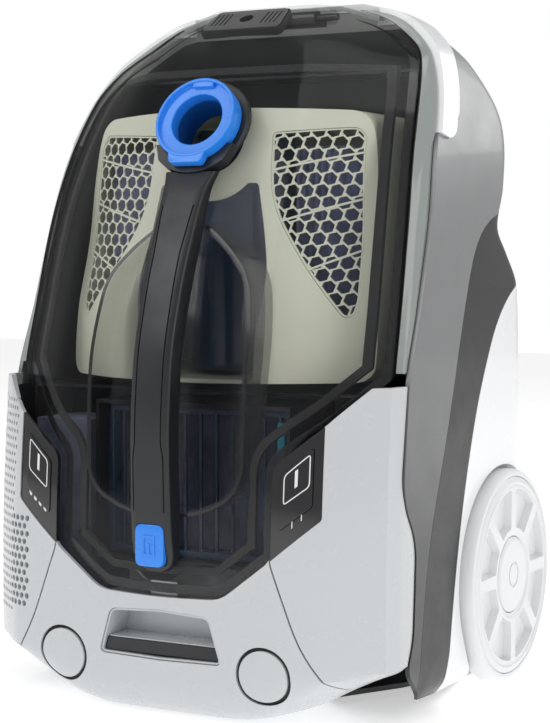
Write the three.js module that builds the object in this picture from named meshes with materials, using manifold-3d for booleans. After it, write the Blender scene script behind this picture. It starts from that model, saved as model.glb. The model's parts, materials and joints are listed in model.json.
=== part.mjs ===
// Canister vacuum cleaner, parked upright on its rear end.
// Frame: millimetres, +Z up from the parking plane, -Y out of the lid, +X to the right
// as seen from the lid side. In use the cleaner lies on its +Y side, on two wheels and a caster.
import * as THREE from 'three';
import { mergeVertices } from 'three/addons/utils/BufferGeometryUtils.js';
import Module from 'manifold-3d';

const wasm = await Module();
wasm.setup();

// ---------- driving dimensions ----------
const BODY_WIDTH = 300; // over the side shells
const BODY_DEPTH = 275; // lid face to rear shell
const BODY_HEIGHT = 470; // parking plane to the top of the nose
const SHELL_WALL = 3;
const LID_WALL = 3.5;
const LID_FLANGE = 9; // depth of the lid's turned-in edge
const SEAM = 0.6; // between fixed panels
const GAP = 0.3; // between parts that seat on each other
const RUNNING = 0.4; // radial clearance of a turning part

const WHEEL_RADIUS = 74;
const WHEEL_WIDTH = 20;
const WHEEL_STANDOUT = 9; // wheel face beyond the side shell
const AXLE_RADIUS = 5;
const CASTER_RADIUS = 10.5;
const CASTER_WIDTH = 16;

const HOSE_BORE = 37;
const RING_RADIUS = 29;
const RING_DEPTH = 12;
const RING_LIP = 2.2; // thickness of the raised rim
const RING_LUG = 6; // depth of the grip lug and of the tab
const RING_TILT = 25; // degrees, inlet axis above the horizontal
const NECK_RADIUS = 33.5;
const DUCT_WALL = 2;

const HANDLE_WIDTH = 30;
const HANDLE_THICKNESS = 18;
const WELL_DEPTH = 25; // finger recess below the lid face
const BUTTON_WIDTH = 23;
const BUTTON_HEIGHT = 27;
const BUTTON_TRAVEL = 3;
const KEY_TRAVEL = 2.5;

const MOTOR_HOUSING_RADIUS = 60;
const MOTOR_RADIUS = 44;
const FAN_RADIUS = 50;
const REEL_RADIUS = 57;
const HINGE_PIN_RADIUS = 2.5;

// ---------- body form ----------
// The form tables are drawn for a body of these proportions and follow the driving dimensions.
const FORM_WIDTH = 300;
const FORM_DEPTH = 275;
const FORM_HEIGHT = 470;
const fx = (value) => (value * BODY_WIDTH) / FORM_WIDTH;
const fy = (value) => (value * BODY_DEPTH) / FORM_DEPTH;
const fz = (value) => (value * BODY_HEIGHT) / FORM_HEIGHT;

// Smooth curve without overshoot through [height, value] rows.
function track(rows, scale) {
  const z = rows.map((row) => fz(row[0]));
  const v = rows.map((row) => scale(row[1]));
  const count = z.length;
  const slope = [];
  for (let i = 0; i < count - 1; i += 1) {
    slope.push((v[i + 1] - v[i]) / (z[i + 1] - z[i]));
  }
  const tangent = v.map((_, i) => {
    if (i === 0) return slope[0];
    if (i === count - 1) return slope[count - 2];
    const a = slope[i - 1];
    const b = slope[i];
    return a * b <= 0 ? 0 : (2 * a * b) / (a + b);
  });
  return (height) => {
    const h = Math.min(Math.max(height, z[0]), z[count - 1]);
    let i = 0;
    while (i < count - 2 && h > z[i + 1]) i += 1;
    const span = z[i + 1] - z[i];
    const t = (h - z[i]) / span;
    const t2 = t * t;
    const t3 = t2 * t;
    return (
      (2 * t3 - 3 * t2 + 1) * v[i] +
      (t3 - 2 * t2 + t) * span * tangent[i] +
      (3 * t2 - 2 * t3) * v[i + 1] +
      (t3 - t2) * span * tangent[i + 1]
    );
  };
}

const LID_CENTRE_Y = track([[80, -136], [110, -136.5], [167, -134], [216, -130], [262, -121], [310, -108],
  [359, -89], [403, -66], [430, -46], [446, -31], [456, -16], [464, -4], [470, 8]], fy);
const CREASE_X = track([[80, 80], [167, 82], [216, 83], [262, 81], [310, 78], [359, 73], [403, 67],
  [439, 62], [455, 52], [470, 40]], fx);
const CREASE_Y = track([[80, -135], [109, -134], [167, -131], [216, -128], [262, -119], [310, -106],
  [359, -86], [403, -61], [439, -37], [450, -22], [460, -9], [470, 6]], fy);
const EDGE_X = track([[80, 141], [221, 141], [263, 140], [315, 138], [359, 134], [407, 127], [429, 119],
  [437, 113], [448, 100], [460, 82], [466, 65], [470, 50]], fx);
const EDGE_Y = track([[80, -98], [160, -93], [221, -85], [263, -74], [315, -60], [359, -44], [407, -17],
  [429, 3], [437, 12], [448, 21], [460, 26], [470, 28]], fy);
const HALF_WIDTH = track([[0, 125], [8, 140], [20, 148], [40, 150], [220, 150], [320, 148], [360, 145],
  [400, 138], [430, 126], [450, 107], [462, 88], [470, 58]], fx);
const SHOULDER_Y = track([[0, -90], [160, -91], [212, -83], [262, -64], [310, -46], [359, -30], [400, -8],
  [430, 11], [450, 26], [462, 33], [470, 34]], fy);
const BACK_Y = track([[0, 118], [10, 130], [30, 137], [240, 138], [275, 128], [300, 103], [316, 90],
  [345, 108], [390, 123], [420, 108], [445, 80], [460, 58], [470, 45]], fy);
const BACK_CORNER = track([[0, 30], [40, 40], [240, 40], [300, 24], [345, 30], [420, 34], [450, 16],
  [470, 4]], fx);
const APRON_X = track([[0, 66], [5, 80], [10, 92], [20, 110], [30, 130], [40, 149], [230, 149]], fx);
const APRON_Y = track([[0, -112], [4, -124], [10, -131], [25, -136], [60, -138], [110, -137.5],
  [230, -129]], fy);

// Levels at which the lofts are cut, closer where the nose rounds over.
const LID_LEVELS = [70, 110, 167, 222, 262, 310, 359, 403, 425, 440, 450, 460, 470].map(fz);
const HULL_LEVELS = [0, 10, 40, 150, 222, 262, 288, 302, 316, 330, 348, 376, 403, 425, 440, 450, 460,
  470].map(fz);
const APRON_LEVELS = [0, 4, 10, 20, 30, 40, 60, 130, 230].map(fz);

const REST_PLANE_Y = fy(150); // floor plane when the cleaner lies on its wheels
const WHEEL_Y = REST_PLANE_Y - WHEEL_RADIUS;
const WHEEL_Z = WHEEL_RADIUS + 0.1;
const WHEEL_FACE_X = BODY_WIDTH / 2 + WHEEL_STANDOUT;
const WHEEL_INNER_X = WHEEL_FACE_X - WHEEL_WIDTH;

// ---------- solids ----------
const group = new THREE.Group();

function solid(geometry) {
  geometry.deleteAttribute('normal');
  geometry.deleteAttribute('uv');
  const merged = mergeVertices(geometry, 1e-4);
  return new wasm.Manifold(new wasm.Mesh({
    numProp: 3,
    vertProperties: new Float32Array(merged.attributes.position.array),
    triVerts: new Uint32Array(merged.index.array),
  }));
}

function place(name, body, finish) {
  const mesh = body.getMesh();
  const geometry = new THREE.BufferGeometry();
  geometry.setAttribute('position', new THREE.BufferAttribute(mesh.vertProperties, 3));
  geometry.setIndex(new THREE.BufferAttribute(mesh.triVerts, 1));
  geometry.computeVertexNormals();
  const [color, roughness, metalness] = finish;
  const part = new THREE.Mesh(geometry, new THREE.MeshStandardMaterial({ color, roughness, metalness }));
  part.name = name;
  group.add(part);
}

function block(x0, x1, y0, y1, z0, z1) {
  const geometry = new THREE.BoxGeometry(x1 - x0, y1 - y0, z1 - z0);
  geometry.translate((x0 + x1) / 2, (y0 + y1) / 2, (z0 + z1) / 2);
  return solid(geometry);
}

// Turned part about a local axis; the profile is [radius, distance along the axis].
function turned(profile, centre, direction, segments = 24) {
  const geometry = new THREE.LatheGeometry(profile.map(([r, d]) => new THREE.Vector2(r, d)), segments);
  const turn = new THREE.Quaternion().setFromUnitVectors(new THREE.Vector3(0, 1, 0),
    new THREE.Vector3(...direction).normalize());
  geometry.applyQuaternion(turn);
  geometry.translate(...centre);
  const body = solid(geometry);
  return body.volume() < 0 ? flipped(geometry) : body;
}

function flipped(geometry) {
  const index = geometry.index.array;
  for (let i = 0; i < index.length; i += 3) {
    [index[i], index[i + 1]] = [index[i + 1], index[i]];
  }
  return solid(geometry);
}

function rod(radius, from, to, centre, direction, segments = 24) {
  return turned([[0, from], [radius, from], [radius, to], [0, to]], centre, direction, segments);
}

function tube(outer, inner, from, to, centre, direction, segments = 24) {
  return turned([[inner, from], [outer, from], [outer, to], [inner, to], [inner, from]], centre, direction,
    segments);
}

function prism(outline, depth, matrix) {
  const shape = new THREE.Shape(outline.map(([a, b]) => new THREE.Vector2(a, b)));
  const geometry = new THREE.ExtrudeGeometry(shape, { depth, bevelEnabled: false });
  geometry.applyMatrix4(matrix);
  return solid(geometry);
}

// Outline in the x-z plane, extruded from y0 to y1.
function frontPrism(outline, y0, y1) {
  const matrix = new THREE.Matrix4().makeBasis(new THREE.Vector3(1, 0, 0), new THREE.Vector3(0, 0, 1),
    new THREE.Vector3(0, -1, 0));
  matrix.setPosition(0, y1, 0);
  return prism(outline, y1 - y0, matrix);
}

// Outline in the y-z plane, extruded from x0 to x1.
function sidePrism(outline, x0, x1) {
  const matrix = new THREE.Matrix4().makeBasis(new THREE.Vector3(0, 1, 0), new THREE.Vector3(0, 0, 1),
    new THREE.Vector3(1, 0, 0));
  matrix.setPosition(x0, 0, 0);
  return prism(outline, x1 - x0, matrix);
}

// Closed solid through rings of equally many points, one ring per level, capped flat.
function loft(rings) {
  const across = rings[0].length;
  const positions = rings.flat(2);
  const faces = [];
  for (let i = 0; i < rings.length - 1; i += 1) {
    for (let j = 0; j < across; j += 1) {
      const a = i * across + j;
      const b = i * across + ((j + 1) % across);
      faces.push(a, b, b + across, a, b + across, a + across);
    }
  }
  const capped = (ring, offset, up) => {
    const flat = ring.map(([x, y]) => new THREE.Vector2(x, y));
    THREE.ShapeUtils.triangulateShape(flat, []).forEach(([a, b, c]) => {
      faces.push(offset + a, offset + (up ? b : c), offset + (up ? c : b));
    });
  };
  capped(rings[0], 0, false);
  capped(rings[rings.length - 1], (rings.length - 1) * across, true);
  const geometry = new THREE.BufferGeometry();
  geometry.setAttribute('position', new THREE.BufferAttribute(new Float32Array(positions), 3));
  geometry.setIndex(faces);
  return solid(geometry);
}

// A full ring, counter-clockwise from above, from the +X half listed front to back.
function mirrored(half, z) {
  const right = half.map(([x, y]) => [x, y, z]);
  const left = half.filter(([x]) => x > 0.001).map(([x, y]) => [-x, y, z]).reverse();
  return [...right, ...left];
}

function mirrorOutline(half) {
  return [...half, ...half.filter(([x]) => x > 0.001).map(([x, z]) => [-x, z]).reverse()];
}

// Inset surfaces read the form a little higher, so the wall stays even where the nose rounds over.
function liftFor(z, inset) {
  const noseStart = fz(400);
  const full = fz(440);
  const share = Math.min(Math.max((z - noseStart) / (full - noseStart), 0), 1);
  return inset * (0.3 + 0.7 * share);
}

function lidForm(inset) {
  const top = fz(FORM_HEIGHT) - inset;
  const back = fy(80);
  const levels = [...LID_LEVELS.filter((z) => z < top - 1), top];
  return loft(levels.map((z) => {
    const h = z + liftFor(z, inset);
    const crease = [CREASE_X(h) - 0.25 * inset, CREASE_Y(h) + 0.95 * inset];
    const edge = [EDGE_X(h) - 0.8 * inset, EDGE_Y(h) + 0.6 * inset];
    const centre = [0, LID_CENTRE_Y(h) + inset];
    const blend = (a, b, t) => [a[0] + (b[0] - a[0]) * t, a[1] + (b[1] - a[1]) * t];
    const soft = blend(blend(centre, crease, 0.9), blend(crease, edge, 0.15), 0.5);
    const half = [centre, blend(centre, crease, 0.82), soft, blend(crease, edge, 0.2), edge,
      [edge[0], back]];
    return mirrored(half, z);
  }));
}

function hullForm(inset) {
  const top = fz(FORM_HEIGHT) - inset;
  const roomAt = (z) => BACK_Y(z + liftFor(z, inset)) - SHOULDER_Y(z + liftFor(z, inset)) - 2 * inset;
  const levels = [...HULL_LEVELS.filter((z) => z < top - 1), top].filter((z) => roomAt(z) > 4);
  return loft(levels.map((z) => {
    const h = z + liftFor(z, inset);
    const width = HALF_WIDTH(h) - inset;
    const back = BACK_Y(h) - inset;
    const corner = Math.max(BACK_CORNER(h) - inset, 1);
    const front = inset > 0 ? SHOULDER_Y(h) + inset : SHOULDER_Y(z);
    const half = [[0.001, front], [width, front]];
    for (let step = 0; step <= 3; step += 1) {
      const angle = (step / 3) * (Math.PI / 2);
      half.push([width - corner + corner * Math.cos(angle), back - corner + corner * Math.sin(angle)]);
    }
    return mirrored(half, z);
  }));
}

// Block in front of the shells' front edges, as wide as the space between their walls.
function mouthForm(inset, depth) {
  const top = HINGE_Z - 8;
  const levels = [fz(-20), ...HULL_LEVELS.filter((z) => z < top - 1), top];
  return loft(levels.map((z) => {
    const width = HALF_WIDTH(z) - inset;
    const front = SHOULDER_Y(z);
    return mirrored([[0.001, front - 30], [width, front - 30], [width, front + depth],
      [0.001, front + depth]], z);
  }));
}

function apronForm(inset) {
  return loft(APRON_LEVELS.map((z) => {
    const width = APRON_X(z) - inset;
    const front = APRON_Y(z) + inset;
    const rear = fy(-40);
    const flat = Math.min(fx(108), APRON_X(z) * 0.75);
    const depth = fy(44);
    const half = [[0, front], [flat * 0.7, front + 0.5], [flat, front + fy(4)]];
    half.push([flat + (width - flat) * 0.5, front + fy(15)], [width - fx(3.5), front + fy(31)]);
    half.push([width, front + fy(4) + depth], [width, rear]);
    return mirrored(half, z);
  }));
}

// Outline moved inwards by a distance, each corner along its mitre.
function shrunk(outline, distance) {
  const count = outline.length;
  const area = outline.reduce((sum, [x, y], i) => {
    const [nx, ny] = outline[(i + 1) % count];
    return sum + x * ny - nx * y;
  }, 0);
  const side = area > 0 ? 1 : -1;
  return outline.map((point, i) => {
    const before = outline[(i + count - 1) % count];
    const after = outline[(i + 1) % count];
    const a = new THREE.Vector2(point[0] - before[0], point[1] - before[1]).normalize();
    const b = new THREE.Vector2(after[0] - point[0], after[1] - point[1]).normalize();
    const na = new THREE.Vector2(-a.y, a.x).multiplyScalar(side);
    const nb = new THREE.Vector2(-b.y, b.x).multiplyScalar(side);
    const mitre = na.clone().add(nb);
    const reach = (2 * distance) / Math.max(mitre.lengthSq(), 0.5);
    return [point[0] + mitre.x * reach, point[1] + mitre.y * reach];
  });
}

// ---------- finishes: colour, roughness, metalness ----------
const SILVER = [0xb4b6b7, 0.4, 0.3];
const WHITE = [0xe9ebec, 0.3, 0];
const PALE = [0xc8cbcd, 0.3, 0];
const DARK = [0x2b2c31, 0.4, 0];
const SMOKED = [0x4b4d50, 0.1, 0];
const CLEAR = [0xb9beb6, 0.1, 0];
const BLUE = [0x2f7fd8, 0.3, 0];
const CREAM = [0xc9cbb6, 0.5, 0];
const FILTER = [0x5a679c, 0.9, 0];
const RUBBER = [0x1d1d1f, 0.8, 0];
const STEEL = [0x9a9da1, 0.3, 1];
const BOARD = [0x2e6b3f, 0.6, 0];
const CHAMBER = [0x2b3b52, 0.1, 0];

// ---------- boundaries between the panels ----------
const LID_FOOT_Z = fz(82);
const LID_OUTLINE = mirrorOutline([[0, 80], [45, 82], [80, 109], [80, 167], [113, 193], [141, 221],
  [140, 263], [138, 315], [134, 359], [127, 407], [119, 429], [113, 437], [100, 448], [82, 460],
  [65, 466.5], [40, 480], [0, 480]].map(([x, z]) => [fx(x), fz(z)]));
const PANEL_OUTLINE = [[80, 109], [113, 136], [113, 193], [80, 167]].map(([x, z]) => [fx(x), fz(z)]);
const WELL_OUTLINE = mirrorOutline([[0, 134], [28, 137], [48, 147], [55, 160], [56, 245], [51, 282],
  [34, 301], [17, 314], [0, 318]].map(([x, z]) => [fx(x), fz(z)]));
const SEAM_LINE = [[80, 109], [101, 54], [122, 26], [140, -10]].map(([x, z]) => [fx(x), fz(z)]);
// Side view, y-z: the front edge of the silver shell, and its lower rear edge against the rear shell.
const SHELL_FRONT_LINE = [[-82, 216], [-91, 146], [-70, 117], [-74, 54], [-84, 36], [-56, 12], [-20, -10]]
  .map(([y, z]) => [fy(y), fz(z)]);
const REAR_SHELL_LINE = [[200, 300], [95, 275], [62, 250], [30, 200], [5, 135], [-11, 70], [-20, 20],
  [-24, -10]].map(([y, z]) => [fy(y), fz(z)]);
const BAND_LOWER_Z = fz(376);
const BAND_WIDTH = 27;
const BAND_STANDOUT = 2.5;
const HINGE_Y = fy(30);
const HINGE_Z = fz(FORM_HEIGHT) - 6;

const RING_CENTRE = [0, fy(-92), fz(388)];
const tilt = THREE.MathUtils.degToRad(RING_TILT);
const INWARD = [0, Math.cos(tilt), -Math.sin(tilt)]; // down the inlet bore

const lidOuter = lidForm(0);
const lidSkinGap = lidForm(-GAP);
const hullInner = hullForm(SHELL_WALL);
const EYE_RADIUS = HINGE_PIN_RADIUS + 3;
const LID_EDGE_BACK = EYE_RADIUS + 1; // lid's nose edge, in front of the hinge axis

// ---------- lid ----------
function lidSideLimit() {
  const rows = [...LID_LEVELS.filter((z) => z < fz(440)), fz(440)];
  const back = rows.map((z) => [EDGE_Y(z) + LID_FLANGE, z]);
  const noseEdge = HINGE_Y - LID_EDGE_BACK;
  return sidePrism([[fy(-300), 0], [fy(-60), 0], ...back, [noseEdge, fz(452)], [noseEdge, fz(500)],
    [fy(-300), fz(500)]], -BODY_WIDTH, BODY_WIDTH);
}

const lidLimit = lidSideLimit();

function makeLidCover() {
  const outline = shrunk(LID_OUTLINE, SEAM / 2);
  const skin = lidOuter.subtract(lidForm(LID_WALL)).intersect(frontPrism(outline, -BODY_DEPTH, BODY_DEPTH))
    .intersect(lidLimit);
  const wellFloor = lidForm(WELL_DEPTH);
  const wellBack = lidForm(WELL_DEPTH + LID_WALL);
  const tub = frontPrism(shrunk(WELL_OUTLINE, -LID_WALL), -BODY_DEPTH, 0).intersect(lidOuter)
    .subtract(wellBack);
  const hollow = frontPrism(WELL_OUTLINE, -BODY_DEPTH, 0).subtract(wellFloor);
  const inletHole = rod(HOSE_BORE / 2 + 4, -40, 60, RING_CENTRE, INWARD);
  const lugs = hingeLug(1).add(hingeLug(-1));
  const cover = skin.add(tub).subtract(hollow).subtract(inletHole).add(lugs.intersect(lidForm(0.5)));
  const pinHole = rod(HINGE_PIN_RADIUS + RUNNING, -60, 60, [0, HINGE_Y, HINGE_Z], [1, 0, 0], 16);
  place('lid_cover', cover.subtract(pinHole), SMOKED);
}

// Eye of the lid that the hinge pin passes through.
function hingeLug(side) {
  const x0 = side > 0 ? 31 : -41;
  const eye = rod(EYE_RADIUS, x0, x0 + 10, [0, HINGE_Y, HINGE_Z], [1, 0, 0], 16);
  return eye.add(block(x0, x0 + 10, HINGE_Y - 12, HINGE_Y - 1, HINGE_Z - 3, HINGE_Z + 7));
}

function makeLidRims() {
  const levels = HULL_LEVELS.filter((z) => z > fz(220) && z < fz(452));
  const rings = levels.map((z) => {
    const edge = [EDGE_X(z) + SEAM / 2, EDGE_Y(z)];
    const shoulder = [HALF_WIDTH(z) - GAP, SHOULDER_Y(z) - 2 * SEAM];
    const behind = HALF_WIDTH(z) - SHELL_WALL - GAP;
    return [[...edge, z], [...shoulder, z], [behind, shoulder[1], z], [behind, shoulder[1] + 2, z],
      [edge[0], edge[1] + SHELL_WALL + 1, z]];
  });
  place('lid_rim_right', loft(rings), CLEAR);
  const left = rings.map((ring) => ring.map(([x, y, z]) => [-x, y, z]).reverse());
  place('lid_rim_left', loft(left), CLEAR);
}

function makeInlet() {
  const neck = rod(NECK_RADIUS, RING_DEPTH + GAP, 70, RING_CENTRE, INWARD, 28).subtract(lidSkinGap);
  const ductRadius = HOSE_BORE / 2 + DUCT_WALL;
  place('inlet_neck', neck.subtract(rod(ductRadius + GAP, -10, 80, RING_CENTRE, INWARD, 28)), DARK);
  place('inlet_duct', tube(ductRadius, HOSE_BORE / 2, RING_DEPTH + GAP, 32, RING_CENTRE, INWARD, 28), DARK);
  const lip = RING_RADIUS - RING_LIP;
  const ring = turned([[HOSE_BORE / 2, RING_DEPTH], [HOSE_BORE / 2, 3.5], [lip, 3.5], [lip, 0],
    [RING_RADIUS, 0], [RING_RADIUS, RING_DEPTH], [HOSE_BORE / 2, RING_DEPTH]], RING_CENTRE, INWARD, 28);
  const local = new THREE.Matrix4().makeRotationX(-tilt).setPosition(...RING_CENTRE);
  const lug = prism([[-12, -RING_RADIUS - 4], [12, -RING_RADIUS - 4], [14, -RING_RADIUS + 5],
    [-14, -RING_RADIUS + 5]], RING_LUG, local.clone().multiply(frontToLocal(0.5)));
  const tab = prism([[-8, lip - 4], [8, lip - 4], [8, lip + 0.5], [-8, lip + 0.5]], RING_LUG,
    local.clone().multiply(frontToLocal(1)));
  place('inlet_ring', ring.add(lug).add(tab), BLUE);
}

// Shape plane x-z of the ring, depth running inwards from a start depth.
function frontToLocal(start) {
  const matrix = new THREE.Matrix4().makeBasis(new THREE.Vector3(1, 0, 0), new THREE.Vector3(0, 0, 1),
    new THREE.Vector3(0, -1, 0));
  return matrix.setPosition(0, start + RING_LUG, 0);
}

// ---------- carry handle ----------
const HANDLE_FRONT = [[-141, 97], [-147, 114], [-149, 135], [-150, 180], [-147, 225], [-135, 275],
  [-118, 318], [-108, 338], [-100, 347]].map(([y, z]) => [fy(y), fz(z)]);
const HANDLE_FOOT_TOP_Z = fz(137);
const BUTTON_Z = fz(114);
const BUTTON_FACE_Y = fy(-149);
const INLAY_BOTTOM_Z = fz(180);
const INLAY_TOP_Z = fz(225);

function makeHandle() {
  const inner = HANDLE_FRONT.slice(2, -1).map(([y, z]) => [y + HANDLE_THICKNESS, z]).reverse();
  const foot = [[fy(-110), HANDLE_FOOT_TOP_Z - 2], [fy(-110), fz(97)]];
  const half = HANDLE_WIDTH / 2;
  const bar = sidePrism([...HANDLE_FRONT, [fy(-60), fz(347)], ...inner, ...foot], -half, half);
  const button = block(-BUTTON_WIDTH / 2 - GAP, BUTTON_WIDTH / 2 + GAP, -BODY_DEPTH,
    BUTTON_FACE_Y + 5 + BUTTON_TRAVEL + GAP, BUTTON_Z - BUTTON_HEIGHT / 2 + 2 - GAP,
    BUTTON_Z + BUTTON_HEIGHT / 2 + GAP);
  const neck = rod(NECK_RADIUS + GAP, -20, 90, RING_CENTRE, INWARD, 28);
  const face = HANDLE_FRONT[3][0];
  const pocket = block(-9, 9, face - 10, face + 4.2, INLAY_BOTTOM_Z, INLAY_TOP_Z);
  const ringRoom = rod(RING_RADIUS + 8, -20, RING_DEPTH + 1, RING_CENTRE, INWARD, 28);
  place('carry_handle', bar.subtract(lidSkinGap).subtract(button).subtract(neck).subtract(pocket)
    .subtract(ringRoom), DARK);
  place('handle_inlay', block(-9 + GAP, 9 - GAP, face + 1.5, face + 4.2 - GAP, INLAY_BOTTOM_Z + GAP,
    INLAY_TOP_Z - GAP), RUBBER);
  place('lid_release_button', block(-BUTTON_WIDTH / 2, BUTTON_WIDTH / 2, BUTTON_FACE_Y, BUTTON_FACE_Y + 5,
    BUTTON_Z - BUTTON_HEIGHT / 2 + 2, BUTTON_Z + BUTTON_HEIGHT / 2), BLUE);
}

function makeLatch() {
  const top = LID_FOOT_Z + 7;
  const y0 = fy(-131);
  const hook = sidePrism([[y0, top], [y0, top - 12], [y0 + 3, top - 17], [y0 + 7, top - 17],
    [y0 + 7, top - 10], [y0 + 4, top - 10], [y0 + 4, top]], -10, 10);
  place('lid_latch', hook, STEEL);
}

function makeNosePlate() {
  const rise = Math.atan2(fz(456) - fz(446), fy(-16) - fy(-31));
  const matrix = new THREE.Matrix4().makeRotationX(rise).setPosition(0, fy(-20), fz(456));
  const plate = new THREE.BoxGeometry(60, 26, 8);
  plate.applyMatrix4(matrix);
  const hole = rod(5, -20, 20, [0, fy(-20), fz(456)], [0, -Math.sin(rise), Math.cos(rise)], 16);
  place('nose_plate', solid(plate).subtract(lidSkinGap).subtract(hole), PALE);
}

function makeHinge() {
  place('hinge_pin', rod(HINGE_PIN_RADIUS, -44, 44, [0, HINGE_Y, HINGE_Z], [1, 0, 0], 16), STEEL);
  const eye = rod(EYE_RADIUS, -28, 28, [0, HINGE_Y, HINGE_Z], [1, 0, 0], 16);
  const arm = block(-28, 28, HINGE_Y, HINGE_Y + 14, HINGE_Z - 5, HINGE_Z + 2);
  const bracket = eye.add(arm).intersect(hullForm(SHELL_WALL + GAP).add(block(-30, 30, HINGE_Y - 10,
    HINGE_Y + 10, HINGE_Z - 10, HINGE_Z + 6)));
  place('hinge_bracket', bracket.subtract(rod(HINGE_PIN_RADIUS + GAP, -60, 60, [0, HINGE_Y, HINGE_Z],
    [1, 0, 0], 16)), SILVER);
}

// ---------- outer shells ----------
function wheelWell(radius, innerX) {
  const right = rod(radius, innerX, BODY_WIDTH, [0, WHEEL_Y, WHEEL_Z], [1, 0, 0], 28);
  const left = rod(radius, -BODY_WIDTH, -innerX, [0, WHEEL_Y, WHEEL_Z], [1, 0, 0], 28);
  return right.add(left);
}

const wellWall = WHEEL_INNER_X - 1.5 - SHELL_WALL;

function hullSkin() {
  const outer = hullForm(0).subtract(wheelWell(WHEEL_RADIUS + 3, WHEEL_INNER_X - 1.5));
  const inner = hullInner.subtract(wheelWell(WHEEL_RADIUS + 3 + SHELL_WALL, wellWall));
  const open = block(-BODY_WIDTH, BODY_WIDTH, -BODY_DEPTH, BODY_DEPTH, -20, SHELL_WALL + 1);
  return outer.subtract(inner).subtract(open.intersect(hullForm(SHELL_WALL)));
}

function makeShells() {
  const behindLine = [...SHELL_FRONT_LINE].reverse();
  const frontCut = sidePrism([[fy(-300), fz(-20)], ...behindLine, [fy(-82), fz(225)], [fy(-300), fz(225)]],
    -BODY_WIDTH, BODY_WIDTH);
  const mouth = mouthForm(SHELL_WALL, SHELL_WALL + 4);
  const hingeRoom = block(-fx(74), fx(74), -BODY_DEPTH, HINGE_Y + 7, fz(440), BODY_HEIGHT + 20);
  const axles = rod(AXLE_RADIUS + GAP, -BODY_WIDTH, BODY_WIDTH, [0, WHEEL_Y, WHEEL_Z], [1, 0, 0], 16);
  const skin = hullSkin().subtract(frontCut).subtract(mouth).subtract(hingeRoom).subtract(axles);
  const rear = sidePrism([...REAR_SHELL_LINE, [fy(200), fz(-10)]], -BODY_WIDTH, BODY_WIDTH);
  const rearGap = sidePrism(shrunk([...REAR_SHELL_LINE, [fy(200), fz(-10)]], SEAM), -BODY_WIDTH, BODY_WIDTH);
  const bandRows = HULL_LEVELS.filter((z) => z > BAND_LOWER_Z && z < fz(450));
  const bandOutline = [[fy(-200), BAND_LOWER_Z], [SHOULDER_Y(BAND_LOWER_Z) + BAND_WIDTH, BAND_LOWER_Z],
    ...bandRows.map((z) => [SHOULDER_Y(z) + BAND_WIDTH, z]), [fy(60), fz(500)], [fy(-200), fz(500)]];
  const band = sidePrism(bandOutline, -BODY_WIDTH, BODY_WIDTH);
  const bandGap = sidePrism(shrunk(bandOutline, SEAM), -BODY_WIDTH, BODY_WIDTH);
  place('upper_shell', skin.subtract(rear).subtract(band), SILVER);
  place('rear_shell', skin.intersect(rearGap), WHITE);
  const proud = hullForm(-BAND_STANDOUT).subtract(hullInner).subtract(frontCut).subtract(mouth)
    .subtract(hingeRoom);
  place('nose_band', proud.intersect(bandGap), WHITE);
}

// ---------- front panels ----------
const GRIP_OUTLINE = mirrorOutline([[0, 39], [46, 40], [37, 70], [0, 72]].map(([x, z]) => [fx(x), fz(z)]));
const GRIP_DEPTH = 24;
const PAD_X = fx(75);
const PAD_Z = fz(36);
const PAD_RADIUS = 18;

function apronSkin() {
  const shellSide = sidePrism([...SHELL_FRONT_LINE.map(([y, z]) => [y - SEAM, z]), [fy(300), fz(-10)],
    [fy(300), fz(260)], [fy(-83), fz(260)]], -BODY_WIDTH, BODY_WIDTH);
  const panels = frontPrism(shrunk(PANEL_OUTLINE, -GAP), -BODY_DEPTH, 0);
  const top = frontPrism([[-BODY_WIDTH, fz(216)], [BODY_WIDTH, fz(216)], [BODY_WIDTH, fz(260)],
    [-BODY_WIDTH, fz(260)]], -BODY_DEPTH, BODY_DEPTH);
  return apronForm(0).subtract(apronForm(SHELL_WALL)).subtract(lidRoom).subtract(shellSide)
    .subtract(panels).subtract(mirroredX(panels)).subtract(top);
}

const lidRoom = frontPrism(shrunk(LID_OUTLINE, -SEAM / 2), -BODY_DEPTH, BODY_DEPTH);

function mirroredX(body) {
  const mesh = body.getMesh();
  const positions = mesh.vertProperties.slice();
  const faces = mesh.triVerts.slice();
  for (let i = 0; i < positions.length; i += 3) positions[i] = -positions[i];
  for (let i = 0; i < faces.length; i += 3) [faces[i], faces[i + 1]] = [faces[i + 1], faces[i]];
  return new wasm.Manifold(new wasm.Mesh({ numProp: 3, vertProperties: positions, triVerts: faces }));
}

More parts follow.
